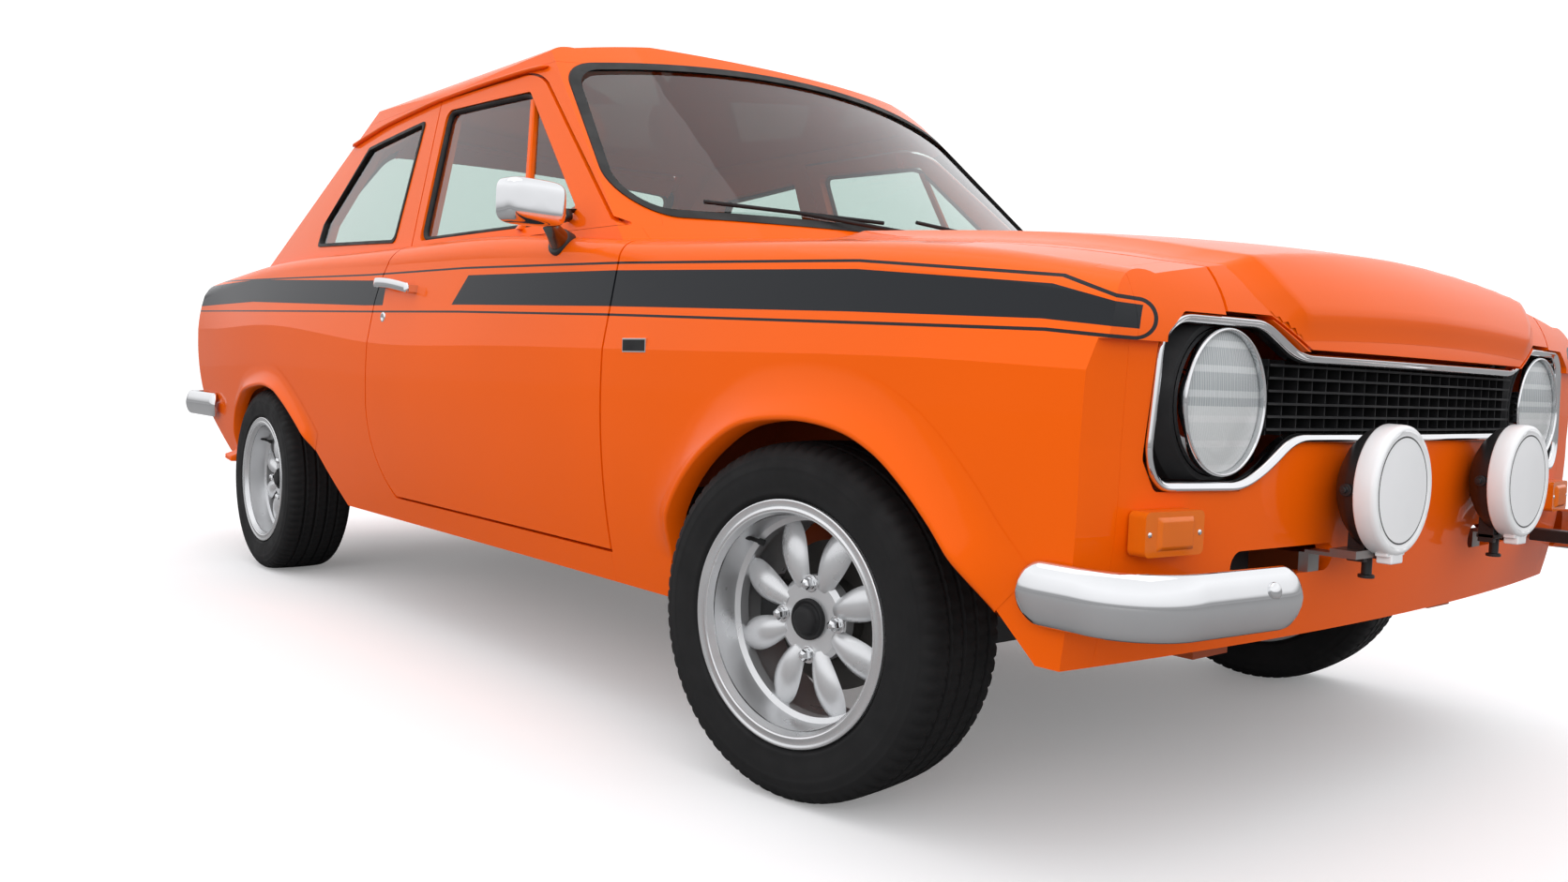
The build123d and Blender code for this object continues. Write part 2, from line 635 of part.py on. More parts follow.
inside = frame_prism(-FRAME_W - 0.4, CORNER_X, 2100)
panel = bowed(GRILLE_BACK, GRILLE_BACK + 4, 480, 760)
ring_shape = [(-30, 116), (-12, 101), (-12, 94), (-44, 94), (-44, 116)]
for y in (-LAMP_Y, LAMP_Y):
    panel += spun_x(polygon(ring_shape), lamp_face_x(y), y, LAMP_Z)
panel = panel & inside
for y in (-LAMP_Y, LAMP_Y):
    panel -= rod((1700, y, LAMP_Z), (2000, y, LAMP_Z), LAMP_R + 0.4)
grille = Part() + panel.solids()
for z in (583, 600, 617, 634, 651, 668):
    grille += bowed(GRILLE_BACK + 3, -12, z - 1.6, z + 1.6) & block(1700, 2100, -405, 405, 0, 1000)
for y in range(-396, 397, 36):
    grille += bowed(GRILLE_BACK + 3, -20, 575, 676) & block(1700, 2100, y - 1.2, y + 1.2, 0, 1000)
parts["grille"] = grille

DOME_R = 226.0             # a lens is the cap of a ball
headlamps, lenses = [], []
for y in (-LAMP_Y, LAMP_Y):
    x = lamp_face_x(y)
    bowl = [(-6, LAMP_R), (-60, LAMP_R), (-118, 50), (-118, 0), (-112, 0), (-112, 46), (-57, 83),
            (-16, 83), (-6, 82.8)]
    headlamps.append(spun_x(polygon(bowl), x, y, LAMP_Z))
    dome = Pos(3 - DOME_R, 0, 0) * Sphere(DOME_R) & Rot(0, 90, 0) * Cylinder(82.4, 31.4)
    lenses.append(Pos(x, y, LAMP_Z) * dome)
parts["headlamps"] = headlamps[0] + headlamps[1]
parts["headlamp_lenses"] = lenses[0] + lenses[1]

# front indicators under the headlamps
indicators = []
for sign in (-1, 1):
    window = Pos(sign * 632, 460) * RectangleRounded(106, 54, 8)
    plane = Plane((1700, 0, 0), x_dir=(0, 1, 0), z_dir=(1, 0, 0))
    indicators.append(bowed(0.6, 24, 420, 500) & extrude(plane * window, 400))
parts["indicators"] = indicators[0] + indicators[1]

# spot lamps: housings with round covers, on stems
spots = []
for y in (-SPOT_Y, SPOT_Y):
    shape = [(0, 0), (0, SPOT_R - 8), (-4, SPOT_R), (-26, SPOT_R), (-28, 82), (-54, 68), (-74, 44),
             (-74, 0)]
    lamp = spun_x(polygon(shape), SPOT_X, y, SPOT_Z)
    stem = rod((SPOT_X - 45, y, SPOT_Z - 70), (SPOT_X - 45, y, 424.4), 8)
    spots.append(lamp + stem)
parts["spot_lamps"] = spots[0] + spots[1]
bars = []
for sign in (-1, 1):
    bar = block(CORNER_X + 70, SPOT_X - 30, sign * 262, sign * 292, 413, 418)
    foot = block(SPOT_X - 64, SPOT_X - 28, sign * 205, sign * 292, 413, 424)
    rest = block(CORNER_X + 62, CORNER_X + 76, sign * 262, sign * 292, SLOT[2] + 0.3, 414)
    bars.append(bar + foot + rest)
parts["lamp_bars"] = bars[0] + bars[1]


# ---------------------------------------------------------------- bumpers
FRONT_BUMPER_Z, REAR_BUMPER_Z, BUMPER_H, BUMPER_T = 388.0, 468.0, 76.0, 22.0
BUMPER_Y = 772.0           # inside face of the blades along the sides


def blade(wire):
    """A bumper blade swept along the line of its inside face; outside is on the line's left."""
    half, t = BUMPER_H / 2, BUMPER_T
    tangent = wire % 0
    edges = [
        Line((0, -half), (0, half)),
        Line((0, half), (8, half)),
        ThreePointArc((8, half), (18, half * 0.55), (t, 4)),
        Line((t, 4), (t, -6)),
        ThreePointArc((t, -6), (18, -half * 0.6), (8, -half)),
        Line((8, -half), (0, -half)),
    ]
    plane = Plane(wire @ 0, x_dir=(-tangent.Y, tangent.X, 0), z_dir=tangent)
    return sweep(plane * make_face(edges), wire)


side = Line((1748, BUMPER_Y), (1836, BUMPER_Y))
corner = JernArc(side @ 1, side % 1, 90, -84)
across = Line(corner @ 1, (corner @ 1) + 190 * (corner % 1))
z = FRONT_BUMPER_Z
front_blade = Pos(0, 0, z) * blade(Wire([side, corner, across]))
front_blade += block(1841, 1946, 556, 586, z - 8, z + 14)
side = Line((-1562, -BUMPER_Y), (-1855, -BUMPER_Y))
corner = JernArc(side @ 1, side % 1, 80, -86.2)
low = corner @ 1
across = TangentArc(low, (low.X, -low.Y), tangent=corner % 1)
turn = JernArc(across @ 1, across % 1, 80, -86.2)
end = turn @ 1
last = Line(end, (-1562, end.Y))
z = REAR_BUMPER_Z
rear_blade = Pos(0, 0, z) * blade(Wire([side, corner, across, turn, last]))
for sign in (-1, 1):
    y0, y1 = sorted((sign * 430, sign * 460))
    rear_blade += block(-1958, -1760, y0, y1, z - 30, z - 18)
parts["bumpers"] = front_blade + mirrored(front_blade) + rear_blade

tail_lamps = []
for sign in (-1, 1):
    y0, y1 = sorted((sign * 560, sign * 702))
    lamp = block(TAIL_X - 60, TAIL_X + 120, y0, y1, 634, 712) & (tail_cut(-0.4) - tail_cut(-22))
    tail_lamps.append(lamp)
parts["tail_lamps"] = tail_lamps[0] + tail_lamps[1]


# ---------------------------------------------------------------- wheels, hubs and brakes
BEAD_R = 165.0             # rim under the tyre's beads
FLANGE_T = 6.0
SPOKES = 8
FACE_W = 6.0               # mounting face, outboard of the wheel's centre plane
DISC_R = 115.0
STUB_R = 14.0
FIT = 0.3                  # running fits and pieces that seat on each other


def spun_y(edges):
    """A turned piece about the Y axis: edges in (r, w), w towards the outside of the car."""
    return revolve(make_face(edges), Axis.Y, 360)


def tyre():
    """The tyre, its beads between the rim's flanges."""
    inner, w = BEAD_R + FIT, RIM_W / 2 - FLANGE_T - FIT
    lip, half = RIM_R + FIT, TYRE_W / 2
    edges = [
        Line((inner, -w), (lip, -w)),
        Line((lip, -w), (lip + 1, -w - 3)),
        ThreePointArc((lip + 1, -w - 3), (222, -half), (TYRE_R - 14, -w - 4)),
        ThreePointArc((TYRE_R - 14, -w - 4), (TYRE_R - 5, -w + 3), (TYRE_R - 1.5, -w + 14)),
        ThreePointArc((TYRE_R - 1.5, -w + 14), (TYRE_R, 0), (TYRE_R - 1.5, w - 14)),
        ThreePointArc((TYRE_R - 1.5, w - 14), (TYRE_R - 5, w - 3), (TYRE_R - 14, w + 4)),
        ThreePointArc((TYRE_R - 14, w + 4), (222, half), (lip + 1, w + 3)),
        Line((lip + 1, w + 3), (lip, w)),
        Line((lip, w), (inner, w)),
        Line((inner, w), (inner, -w)),
    ]
    return spun_y(edges)


def petal(r, wide, thick, w):
    """One section of a spoke at radius r: a pointed oval, wide by thick, centred at w."""
    face = make_face(
        [
            ThreePointArc((-wide / 2, 0), (0, thick / 2), (wide / 2, 0)),
            ThreePointArc((wide / 2, 0), (0, -thick / 2), (-wide / 2, 0)),
        ]
    )
    return Plane((r, w, 0), x_dir=(0, 0, 1), z_dir=(1, 0, 0)) * face


# One row for each section of a spoke. Columns: radius, width, thickness, place across the rim
SPOKE = ((50, 26, 16, 24), (72, 40, 24, 27), (108, 52, 26, 26), (138, 42, 20, 20), (152, 26, 12, 17))


def rim():
    """A cast wheel: barrel, flanges, eight petal spokes and a bored centre."""
    half, inner = RIM_W / 2, BEAD_R - 5.0
    barrel = [
        (inner, -half), (RIM_R, -half), (RIM_R, -half + FLANGE_T), (BEAD_R, -half + FLANGE_T),
        (BEAD_R, half - FLANGE_T), (RIM_R, half - FLANGE_T), (RIM_R, half), (inner + 4, half),
        (inner, half - 10), (inner - 4, 32), (148, 27), (148, 9), (inner, 0),
    ]
    wheel = spun_y(polygon(barrel))
    centre = [(0, FACE_W + 6), (24, FACE_W + 6), (24, FACE_W), (66, FACE_W), (66, 24), (58, 30), (20, 30),
              (18, 40), (0, 42)]
    wheel += spun_y(polygon(centre))
    for k in range(SPOKES):
        spoke = loft([petal(*row) for row in SPOKE])
        wheel += Rot(0, (k + 0.5) * 360 / SPOKES, 0) * spoke
    return wheel


def brake_disc():
    """Front disc and hub, which turn with the wheel on the stub axle."""
    bore, face = STUB_R + FIT, FACE_W - FIT
    hub = [(bore, -50), (32, -50), (32, -36), (DISC_R, -36), (DISC_R, -26), (60, -26), (60, face),
           (0, face), (0, -2), (bore, -2)]
    return spun_y(polygon(hub))


def brake_drum():
    """Rear drum, which turns with the wheel on the half shaft."""
    bore, face = STUB_R + FIT, FACE_W - FIT
    drum = [(bore, -36), (DISC_R, -76), (DISC_R, -10), (DISC_R - 14, face), (0, face), (0, -28), (bore, -28)]
    return spun_y(polygon(drum))


def placed(piece, x, side):
    """A left-hand piece at its axle, on the left (1) or mirrored to the right (-1)."""
    moved = Pos(x, WHEEL_Y, TYRE_R) * piece
    return moved if side > 0 else mirrored(moved)


def king_axis(side):
    """The upward steering axis of the left (1) or right (-1) front wheel."""
    (yt, zt), (yl, zl) = KING_TOP, KING_LOW
    return Axis((FRONT_AXLE_X, side * yl, zl), (0, side * (yt - yl), zt - zl))


def steered(piece, side):
    """A front piece turned to where the steering rests."""
    return piece.rotate(king_axis(side), STEER_AT_REST)


def king_point(z):
    """The place on the left kingpin axis at this height."""
    (yt, zt), (yl, zl) = KING_TOP, KING_LOW
    return (FRONT_AXLE_X, yl + (yt - yl) * (z - zl) / (zt - zl), z)


BALL_R, TUBE_R, STRUT_ROD_R = 15.0, 24.0, 11.0
TUBE_TOP_Z = 560.0
MOUNT_Z = 684.0            # underside of the strut's top mount


def knuckle():
    """Left upright with strut tube, stub axle, caliper and the ball of its lower joint."""
    low = king_point(285)
    piece = rod(low, king_point(TUBE_TOP_Z), TUBE_R) + rod(low, king_point(MOUNT_Z + 12), STRUT_ROD_R)
    piece += Pos(*king_point(KING_LOW[1])) * Sphere(BALL_R)
    piece += rod(king_point(KING_LOW[1]), king_point(230), 9)
    y_axis = king_point(TYRE_R)[1]
    upright = [(y_axis - 14, 210), (y_axis + 22, 206), (y_axis + 24, 300), (y_axis - 2, 350), (y_axis - 30, 350)]
    piece += prism_yz(upright, FRONT_AXLE_X - 24, FRONT_AXLE_X + 24)
    piece += rod((FRONT_AXLE_X, y_axis, TYRE_R), (FRONT_AXLE_X, WHEEL_Y - 6, TYRE_R), STUB_R)
    disc_y = WHEEL_Y - 31
    arm = block(FRONT_AXLE_X - 80, FRONT_AXLE_X - 20, y_axis, y_axis + 20, TYRE_R - 20, TYRE_R + 24)
    caliper = block(FRONT_AXLE_X - 134, FRONT_AXLE_X - 64, y_axis + 4, disc_y + 25, TYRE_R - 34, TYRE_R + 38)
    slot = rod((FRONT_AXLE_X, disc_y - 11, TYRE_R), (FRONT_AXLE_X, disc_y + 11, TYRE_R), DISC_R + 6)
    return piece + arm + (caliper - slot)


WHEELS = (("fl", FRONT_AXLE_X, 1), ("fr", FRONT_AXLE_X, -1), ("rl", REAR_AXLE_X, 1), ("rr", REAR_AXLE_X, -1))
TYRE, RIM, DISC, DRUM = tyre(), rim(), brake_disc(), brake_drum()
for name, x, side in WHEELS:
    pieces = {"tyre_": TYRE, "rim_": RIM, "brake_": DISC if x == FRONT_AXLE_X else DRUM}
    for kind, piece in pieces.items():
        piece = placed(piece, x, side)
        if x == FRONT_AXLE_X:
            piece = steered(piece, side)
        parts[kind + name] = piece
KNUCKLE = knuckle()
parts["knuckle_left"] = steered(KNUCKLE, 1)
parts["knuckle_right"] = steered(mirrored(KNUCKLE), -1)


# ---------------------------------------------------------------- suspension, engine, exhaust
SOCKET_R = 20.0
ball = king_point(KING_LOW[1])
arm = rod((FRONT_AXLE_X, 372, 214), (FRONT_AXLE_X, ball[1] - 10, ball[2]), 12)
arm += Pos(*ball) * Sphere(SOCKET_R)
arm -= Pos(*ball) * Sphere(BALL_R + FIT)
arm -= rod(ball, king_point(230), 16)
spring_low, spring_top = king_point(TUBE_TOP_Z + 12), king_point(MOUNT_Z)
spring = rod(spring_low, spring_top, 58) - rod(king_point(TUBE_TOP_Z), king_point(MOUNT_Z + 20), 46)
mount = rod(king_point(MOUNT_Z - 1), king_point(MOUNT_Z + 5), 62)
mount -= rod(king_point(MOUNT_Z - 9), king_point(MOUNT_Z + 30), STRUT_ROD_R + FIT)
side_parts = arm + (spring + mount)
bore = rod(king_point(600), king_point(MOUNT_Z + 52), 62 + FIT)
parts["engine_bay"] -= bore
parts["engine_bay"] -= mirrored(bore)
crossmember = block(FRONT_AXLE_X - 60, FRONT_AXLE_X + 60, -376, 376, 196, 261.7)
parts["front_suspension"] = crossmember + side_parts + mirrored(side_parts)

axle = rod((REAR_AXLE_X, -592, TYRE_R), (REAR_AXLE_X, 592, TYRE_R), 34)
axle += rod((REAR_AXLE_X, -WHEEL_Y + 30, TYRE_R), (REAR_AXLE_X, WHEEL_Y - 30, TYRE_R), STUB_R)
axle += Pos(REAR_AXLE_X, 0, TYRE_R) * Sphere(112)
axle += rod((REAR_AXLE_X, 0, TYRE_R), (REAR_AXLE_X + 180, 0, TYRE_R + 4), 42)
LEAF_Y = 455.0
for sign in (-1, 1):
    y0, y1 = sorted((sign * (LEAF_Y - 25), sign * (LEAF_Y + 25)))
    leaf = outline_xz(
        [
            ThreePointArc((-520, 280), (REAR_AXLE_X, 218), (-1690, 300)),
            Line((-1690, 300), (-1690, 316)),
            ThreePointArc((-1690, 316), (REAR_AXLE_X, 235), (-520, 285.2)),
            Line((-520, 285.2), (-520, 280)),
        ],
        y0,
        y1,
    )
    axle += leaf
    axle += block(REAR_AXLE_X - 45, REAR_AXLE_X + 45, y0, y1, 208, 270)
    axle += block(-1690, -1650, y0, y1, 300, 332.2)
parts["rear_axle"] = axle

engine = block(1010, 1500, -190, 190, 270, 700)
gearbox = prism_xy([(1010, -150), (1010, 150), (820, 90), (420, 70), (420, -70), (820, -90)], 255, 400)
shaft = rod((420, 0, 320), (REAR_AXLE_X + 181, 0, 272), 32)
engine += block(FRONT_AXLE_X - 40, FRONT_AXLE_X + 40, -300, 300, 262, 280)
parts["drivetrain"] = engine + gearbox + shaft
pipe = rod((980, -230, 238), (-520, -230, 238), 21)
pipe += rod((-520, -230, 238), (-960, -230, 196), 21) + Pos(-520, -230, 238) * Sphere(21)
pipe += rod((-960, -230, 196), (-1290, -230, 196), 21) + Pos(-960, -230, 196) * Sphere(21)
pipe += rod((-1290, -230, 196), (-1840, -300, 290), 21) + Pos(-1290, -230, 196) * Sphere(21)
silencer = Pos(-150, -230, 236) * extrude(Plane.YZ * RectangleRounded(170, 88, 40), 460)
pipe += silencer
hanger = block(-100, -60, -240, -220, 270, FLOOR_Z + 0.2)
pipe += hanger + block(900, 940, -240, -150.5, 240, 262)
parts["exhaust"] = pipe


# ---------------------------------------------------------------- cabin
SEAT_Y, SEAT_W = 358.0, 440.0
DRIVER_Y = -SEAT_Y         # right-hand drive


def seat_pad(points, y0, y1, r):
    """A plain closed pad, its side outline (x, z) rounded by r."""
    return rounded_xz(points, r, y0, y1)


seats = []
for sign in (-1, 1):
    y0, y1 = sign * SEAT_Y - SEAT_W / 2, sign * SEAT_Y + SEAT_W / 2
    base = block(60, 420, y0 + 40, y1 - 40, FLOOR_Z + PLATE + FIT, 345)
    cushion = seat_pad([(0, 340), (500, 350), (500, 470), (30, 440)], y0, y1, 30)
    back = seat_pad([(-20, 330), (70, 345), (-110, 985), (-210, 960)], y0, y1, 34)
    seats.append(base + cushion + back)
parts["front_seats"] = seats[0] + seats[1]
rear = seat_pad([(-850, FLOOR_Z + PLATE + FIT), (-430, FLOOR_Z + PLATE + FIT), (-400, 455), (-850, 430)],
                -530, 530, 24)
rear += seat_pad([(-970, 400), (-800, 400), (-880, 880), (-972, 880)], -530, 530, 24)
rear -= block(-1000, -300, -TUNNEL_Y - FIT, TUNNEL_Y + FIT, 200, TUNNEL_TOP + FIT)
parts["rear_seat"] = rear

WHEEL_TILT = 24.0
WHEEL_CENTRE = (395.0, 768.0)                  # x, z
RING_R, COLUMN_R = 178.0, 13.0
lean = math.radians(WHEEL_TILT)
column_dir = (math.cos(lean), 0, -math.sin(lean))


def column_point(d):
    """The place on the steering column, d ahead of the steering wheel's centre."""
    return (WHEEL_CENTRE[0] + d * column_dir[0], DRIVER_Y, WHEEL_CENTRE[1] + d * column_dir[2])


dash = rounded_xz([(842, 640), (700, 600), (655, 640), (640, 800), (700, 846), (842, 840)], 16, -636, 636)
dash += rod(column_point(160), column_point(330), COLUMN_R + 14)
dash -= rod(column_point(150), column_point(345), COLUMN_R + FIT)
dash -= rod(column_point(345), column_point(430), COLUMN_R + 8)
parts["dashboard"] = dash
GRIP_R = 12.0
# drawn about the X axis, its centre at the origin, then leaned into place
steering = revolve(Plane.XY * Pos(0, RING_R) * Circle(GRIP_R), Axis.X, 360)
for turn in (90, 210, 330):
    steering += Rot(turn, 0, 0) * rod((50, 0, 0), (0, 0, RING_R), 7)
steering += rod((34, 0, 0), (74, 0, 0), 34) + rod((60, 0, 0), (320, 0, 0), COLUMN_R)
parts["steering_wheel"] = Pos(*column_point(0)) * Rot(0, WHEEL_TILT, 0) * steering

# door handles and mirrors
for name, sign, _ in SIDES:
    fittings = Part()
    bar = rod((-233, sign * 792, 817), (-27, sign * 792, 796), 8)
    feet = rod((-222, sign * 772.5, 816), (-222, sign * 792, 816), 9)
    feet += rod((-40, sign * 773.5, 797), (-40, sign * 792, 797), 9)
    stem = rod((563, sign * 749, 872), (640, sign * 838, 930), 7)
    shell = [Line((601, 0), (601, 38)), ThreePointArc((601, 38), (660, 41), (728, 0)), Line((728, 0), (601, 0))]
    head = Pos(0, sign * 860, 933) * revolve(make_face(shell), Axis.X, 360)
    parts["door_fittings_" + name] = bar + feet + (stem + head)

# Front mud flap: |y|, z. Its outer edge follows the inside of the wing.
FRONT_FLAP = ((600, 190), (726, 190), (727, 250), (735.2, 284), (740.4, 307), (744.6, 330), (600, 330))
FLAP_X = 970.0             # behind the steered tyre at full lock
flaps = []
for sign in (-1, 1):
    y0, y1 = sorted((sign * 600, sign * 726))
    flaps.append(prism_yz([(sign * y, z) for y, z in FRONT_FLAP], FLAP_X, FLAP_X + 5))
    flaps.append(block(-1392, -1387, y0, y1, 190, 330))
parts["mud_flaps"] = flaps[0] + flaps[1] + flaps[2] + flaps[3]



def screen_point(y, z, out):
    """A place on the windscreen, out millimetres ahead of it."""
    low, high = LEVELS[0], LEVELS[1]
    t = (z - low[0]) / (high[0] - low[0])
    corner_x, corner_y, centre_x = (low[k] + t * (high[k] - low[k]) for k in (1, 2, 3))
    return (centre_x - (centre_x - corner_x) * (y / corner_y) ** 2 + out, y, z)


SCUTTLE_TOP = (906.0, 51.0, 706.0)             # at the wiper pivots: centre z, fall, half-width
wipers = []
for y in (-130, 330):
    z = SCUTTLE_TOP[0] - SCUTTLE_TOP[1] * (y / SCUTTLE_TOP[2]) ** 2 + 1.4
    near, far = screen_point(y - 30, 948, 23), screen_point(y - 390, 960, 23)
    middle = tuple((p + q) / 2 for p, q in zip(near, far))
    wipers.append(rod((912, y, z), (912, y, z + 24), 9) + rod((912, y, z + 21), middle, 4))
    wipers[-1] += rod(near, far, 4)
parts["wipers"] = wipers[0] + wipers[1]


for name, piece in parts.items():
    export_step(piece, "parts/" + name + ".step")
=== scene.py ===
"""Looks of the rally saloon: materials, trim, tyres, lamps, seats, light and camera. Metres, in the CAD's frame."""
import json
from math import copysign, cos, exp, hypot, pi, radians, sin, sqrt

import bmesh
import bpy
from mathutils import Matrix, Vector
from mathutils.bvhtree import BVHTree


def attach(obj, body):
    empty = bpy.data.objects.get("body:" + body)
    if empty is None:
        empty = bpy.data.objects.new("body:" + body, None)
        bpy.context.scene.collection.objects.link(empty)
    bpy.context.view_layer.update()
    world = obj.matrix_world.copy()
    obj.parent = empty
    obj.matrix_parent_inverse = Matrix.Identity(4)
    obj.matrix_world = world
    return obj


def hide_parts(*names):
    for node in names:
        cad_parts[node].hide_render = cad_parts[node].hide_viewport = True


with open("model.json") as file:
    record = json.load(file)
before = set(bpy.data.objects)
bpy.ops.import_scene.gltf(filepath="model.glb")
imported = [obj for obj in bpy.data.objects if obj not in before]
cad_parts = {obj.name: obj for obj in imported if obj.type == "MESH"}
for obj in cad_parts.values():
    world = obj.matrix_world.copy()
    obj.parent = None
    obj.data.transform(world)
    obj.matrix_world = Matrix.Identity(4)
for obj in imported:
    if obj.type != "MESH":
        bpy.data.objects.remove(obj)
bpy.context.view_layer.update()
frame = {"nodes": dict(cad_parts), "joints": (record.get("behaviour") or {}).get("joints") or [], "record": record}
NODES = frame["nodes"]
SIGN = {"right": -1, "left": 1}
SIDES = tuple(SIGN.items())


# ---- shader helpers
def feed(tree, socket, value):
    """Links a node's output to a socket, or sets the socket; a colour may leave out its alpha."""
    if hasattr(value, "is_output"):
        tree.links.new(value, socket)
    elif socket.type == "RGBA" and len(value) == 3:
        socket.default_value = (*value, 1)
    else:
        socket.default_value = value


def add_node(tree, kind, inputs=None, **props):
    """A shader node with its properties and inputs."""
    node = tree.nodes.new("ShaderNode" + kind)
    for key, value in props.items():
        setattr(node, key, value)
    for key, value in (inputs or {}).items():
        feed(tree, node.inputs[key], value)
    return node


class Shader:
    """A node material being built, with short calls for the nodes used here."""

    def __init__(self, name):
        self.mat = bpy.data.materials.new(name)
        self.mat.use_nodes = True
        self.tree = self.mat.node_tree
        self.bsdf = self.tree.nodes["Principled BSDF"]
        self.coords = self.node("TexCoord").outputs["Object"]

    def set(self, **values):
        """Sets sockets of the Principled shader: base_color becomes Base Color."""
        for key, value in values.items():
            feed(self.tree, self.bsdf.inputs[key.replace("_", " ").title().replace("Ior", "IOR")], value)

    def node(self, kind, inputs=None, **props):
        return add_node(self.tree, kind, inputs, **props)

    def math(self, operation, a, b=0.0, c=0.0, clamp=False):
        return self.node("Math", {0: a, 1: b, 2: c}, operation=operation, use_clamp=clamp).outputs[0]

    def times(self, a, b):
        return self.math("MULTIPLY", a, b)

    def plus(self, a, b):
        return self.math("ADD", a, b)

    def minus(self, a, b, clamp=False):
        return self.math("SUBTRACT", a, b, clamp=clamp)

    def over(self, a, b):
        return self.math("GREATER_THAN", a, b)

    def under(self, a, b):
        return self.math("LESS_THAN", a, b)

    def size(self, a):
        return self.math("ABSOLUTE", a)

    def split(self, vector):
        """The three parts of a vector."""
        return self.node("SeparateXYZ", {0: vector}).outputs

    def distance(self, a, b):
        """The length of a flat vector."""
        return self.math("SQRT", self.plus(self.times(a, a), self.times(b, b)))

    def noise(self, scale, detail=3.0):
        return self.node("TexNoise", {"Vector": self.coords, "Scale": scale, "Detail": detail}).outputs["Fac"]

    def remap(self, value, low, high, to_low, to_high):
        return self.node("MapRange", {"Value": value, "From Min": low, "From Max": high,
                                      "To Min": to_low, "To Max": to_high}).outputs[0]

    def cloud(self, scale, low, high, detail=3.0):
        """Noise spread over low to high."""
        return self.remap(self.noise(scale, detail), 0.3, 0.7, low, high)

    def mix(self, factor, a, b):
        return self.node("Mix", {0: factor, 6: a, 7: b}, data_type="RGBA").outputs[2]

    def bump(self, height, strength, distance):
        return self.node("Bump", {"Height": height, "Strength": strength, "Distance": distance}).outputs[0]


def plain(name, color, rough, metal=0.0, grain=60.0, depth=0.0002, vary=0.12, **more):
    """A material with some colour variation, uneven gloss and a fine bump."""
    s = Shader(name)
    dark = tuple(c * (1 - vary) for c in color)
    s.set(base_color=s.mix(s.remap(s.noise(7.0, 4.0), 0.35, 0.65, 0, 1), dark, color), metallic=metal)
    s.set(roughness=s.cloud(18.0, rough * 0.85, min(1.0, rough * 1.2)))
    s.set(normal=s.bump(s.noise(grain), 0.35, depth), **more)
    return s.mat


ORANGE = (0.94, 0.125, 0.001)
STRIPE = (0.016, 0.018, 0.021)
# The side band by place along the car. Columns: x, lower edge z, upper edge z
BAND = ((-1.93, 0.795, 0.862), (-1.228, 0.795, 0.863), (-0.33, 0.766, 0.828), (0.2, 0.757, 0.82),
        (0.799, 0.742, 0.806), (1.415, 0.723, 0.783), (1.745, 0.71, 0.753), (1.885, 0.696, 0.717))
# Pinstripes. Columns: x, lower line z, upper line z
PINS = ((-1.93, 0.78, 0.88), (-0.33, 0.751, 0.842), (0.2, 0.742, 0.836), (0.806, 0.727, 0.819),
        (1.415, 0.708, 0.795), (1.754, 0.697, 0.763), (1.89, 0.685, 0.718))
PIN_HALF = 0.0022
BAND_END, LOOP_X, LOOP_R = 1.865, 1.8602, 0.018
TURN_IN, TURN_Y = 0.39, 0.75     # the nose turns inwards there, so the ends are measured along it
BAND_Y = 0.66                    # the band is only outboard of this
GAP_BACK, GAP_LEAN, GAP_FRONT = -0.22, -0.967, -0.57    # the gap at the handle, its front end leaning
DECK_X, DECK_FACING = -1.3, 0.8  # behind this, what faces up carries no band


def curve_of(s, x, rows, column):
    """A height that follows rows of (x, ...) along the car, as a chain of straight stretches."""
    value = None
    for a, b in zip(rows, rows[1:]):
        stretch = s.remap(x, a[0], b[0], a[column], b[column])
        if value is None:
            value = stretch
        else:
            value = s.node("Mix", {0: s.over(x, a[0]), 2: value, 3: stretch}, data_type="FLOAT").outputs[0]
    return value


def stripes(s):
    """A mask of the dark band and its two pinstripes, which meet in a loop at the nose."""
    x, y, z = s.split(s.coords)
    outboard = s.over(s.size(y), BAND_Y)
    band = s.times(s.over(z, curve_of(s, x, BAND, 1)), s.under(z, curve_of(s, x, BAND, 2)))
    lean = s.math("MULTIPLY_ADD", z, GAP_LEAN, x)
    gap = s.times(s.over(x, GAP_BACK), s.under(lean, GAP_FRONT))
    band = s.times(band, s.minus(1.0, gap))
    along = s.math("MULTIPLY_ADD", s.minus(TURN_Y, s.size(y)), TURN_IN, x)
    band = s.times(band, s.under(along, BAND_END))
    low, high = curve_of(s, x, PINS, 1), curve_of(s, x, PINS, 2)
    half = s.times(s.minus(high, low), 0.5)
    off = s.math("DIVIDE", s.minus(z, s.plus(low, half)), half)
    past = s.math("MAXIMUM", s.math("DIVIDE", s.minus(along, LOOP_X), LOOP_R), 0.0)
    away = s.times(s.size(s.minus(s.distance(off, past), 1.0)), half)
    band = s.math("MAXIMUM", band, s.under(away, PIN_HALF))
    facing = s.split(s.node("NewGeometry").outputs["Normal"])[2]
    deck = s.times(s.under(x, DECK_X), s.over(facing, DECK_FACING))
    return s.times(band, s.minus(outboard, deck, clamp=True))


def paint(name, striped):
    """Gloss orange paint with its clear coat; striped panels carry the dark band and pinstripes."""
    s = Shader(name)
    base = s.mix(s.cloud(2.2, 0, 1, 2.0), tuple(c * 0.96 for c in ORANGE), ORANGE)
    if striped:
        base = s.mix(stripes(s), base, STRIPE)
    s.set(base_color=base, roughness=0.42, coat_weight=0.55, coat_roughness=0.02, coat_ior=1.3,
          specular_ior_level=0.04)
    s.set(normal=s.bump(s.noise(260.0, 1.0), 0.03, 0.0004))
    return s.mat


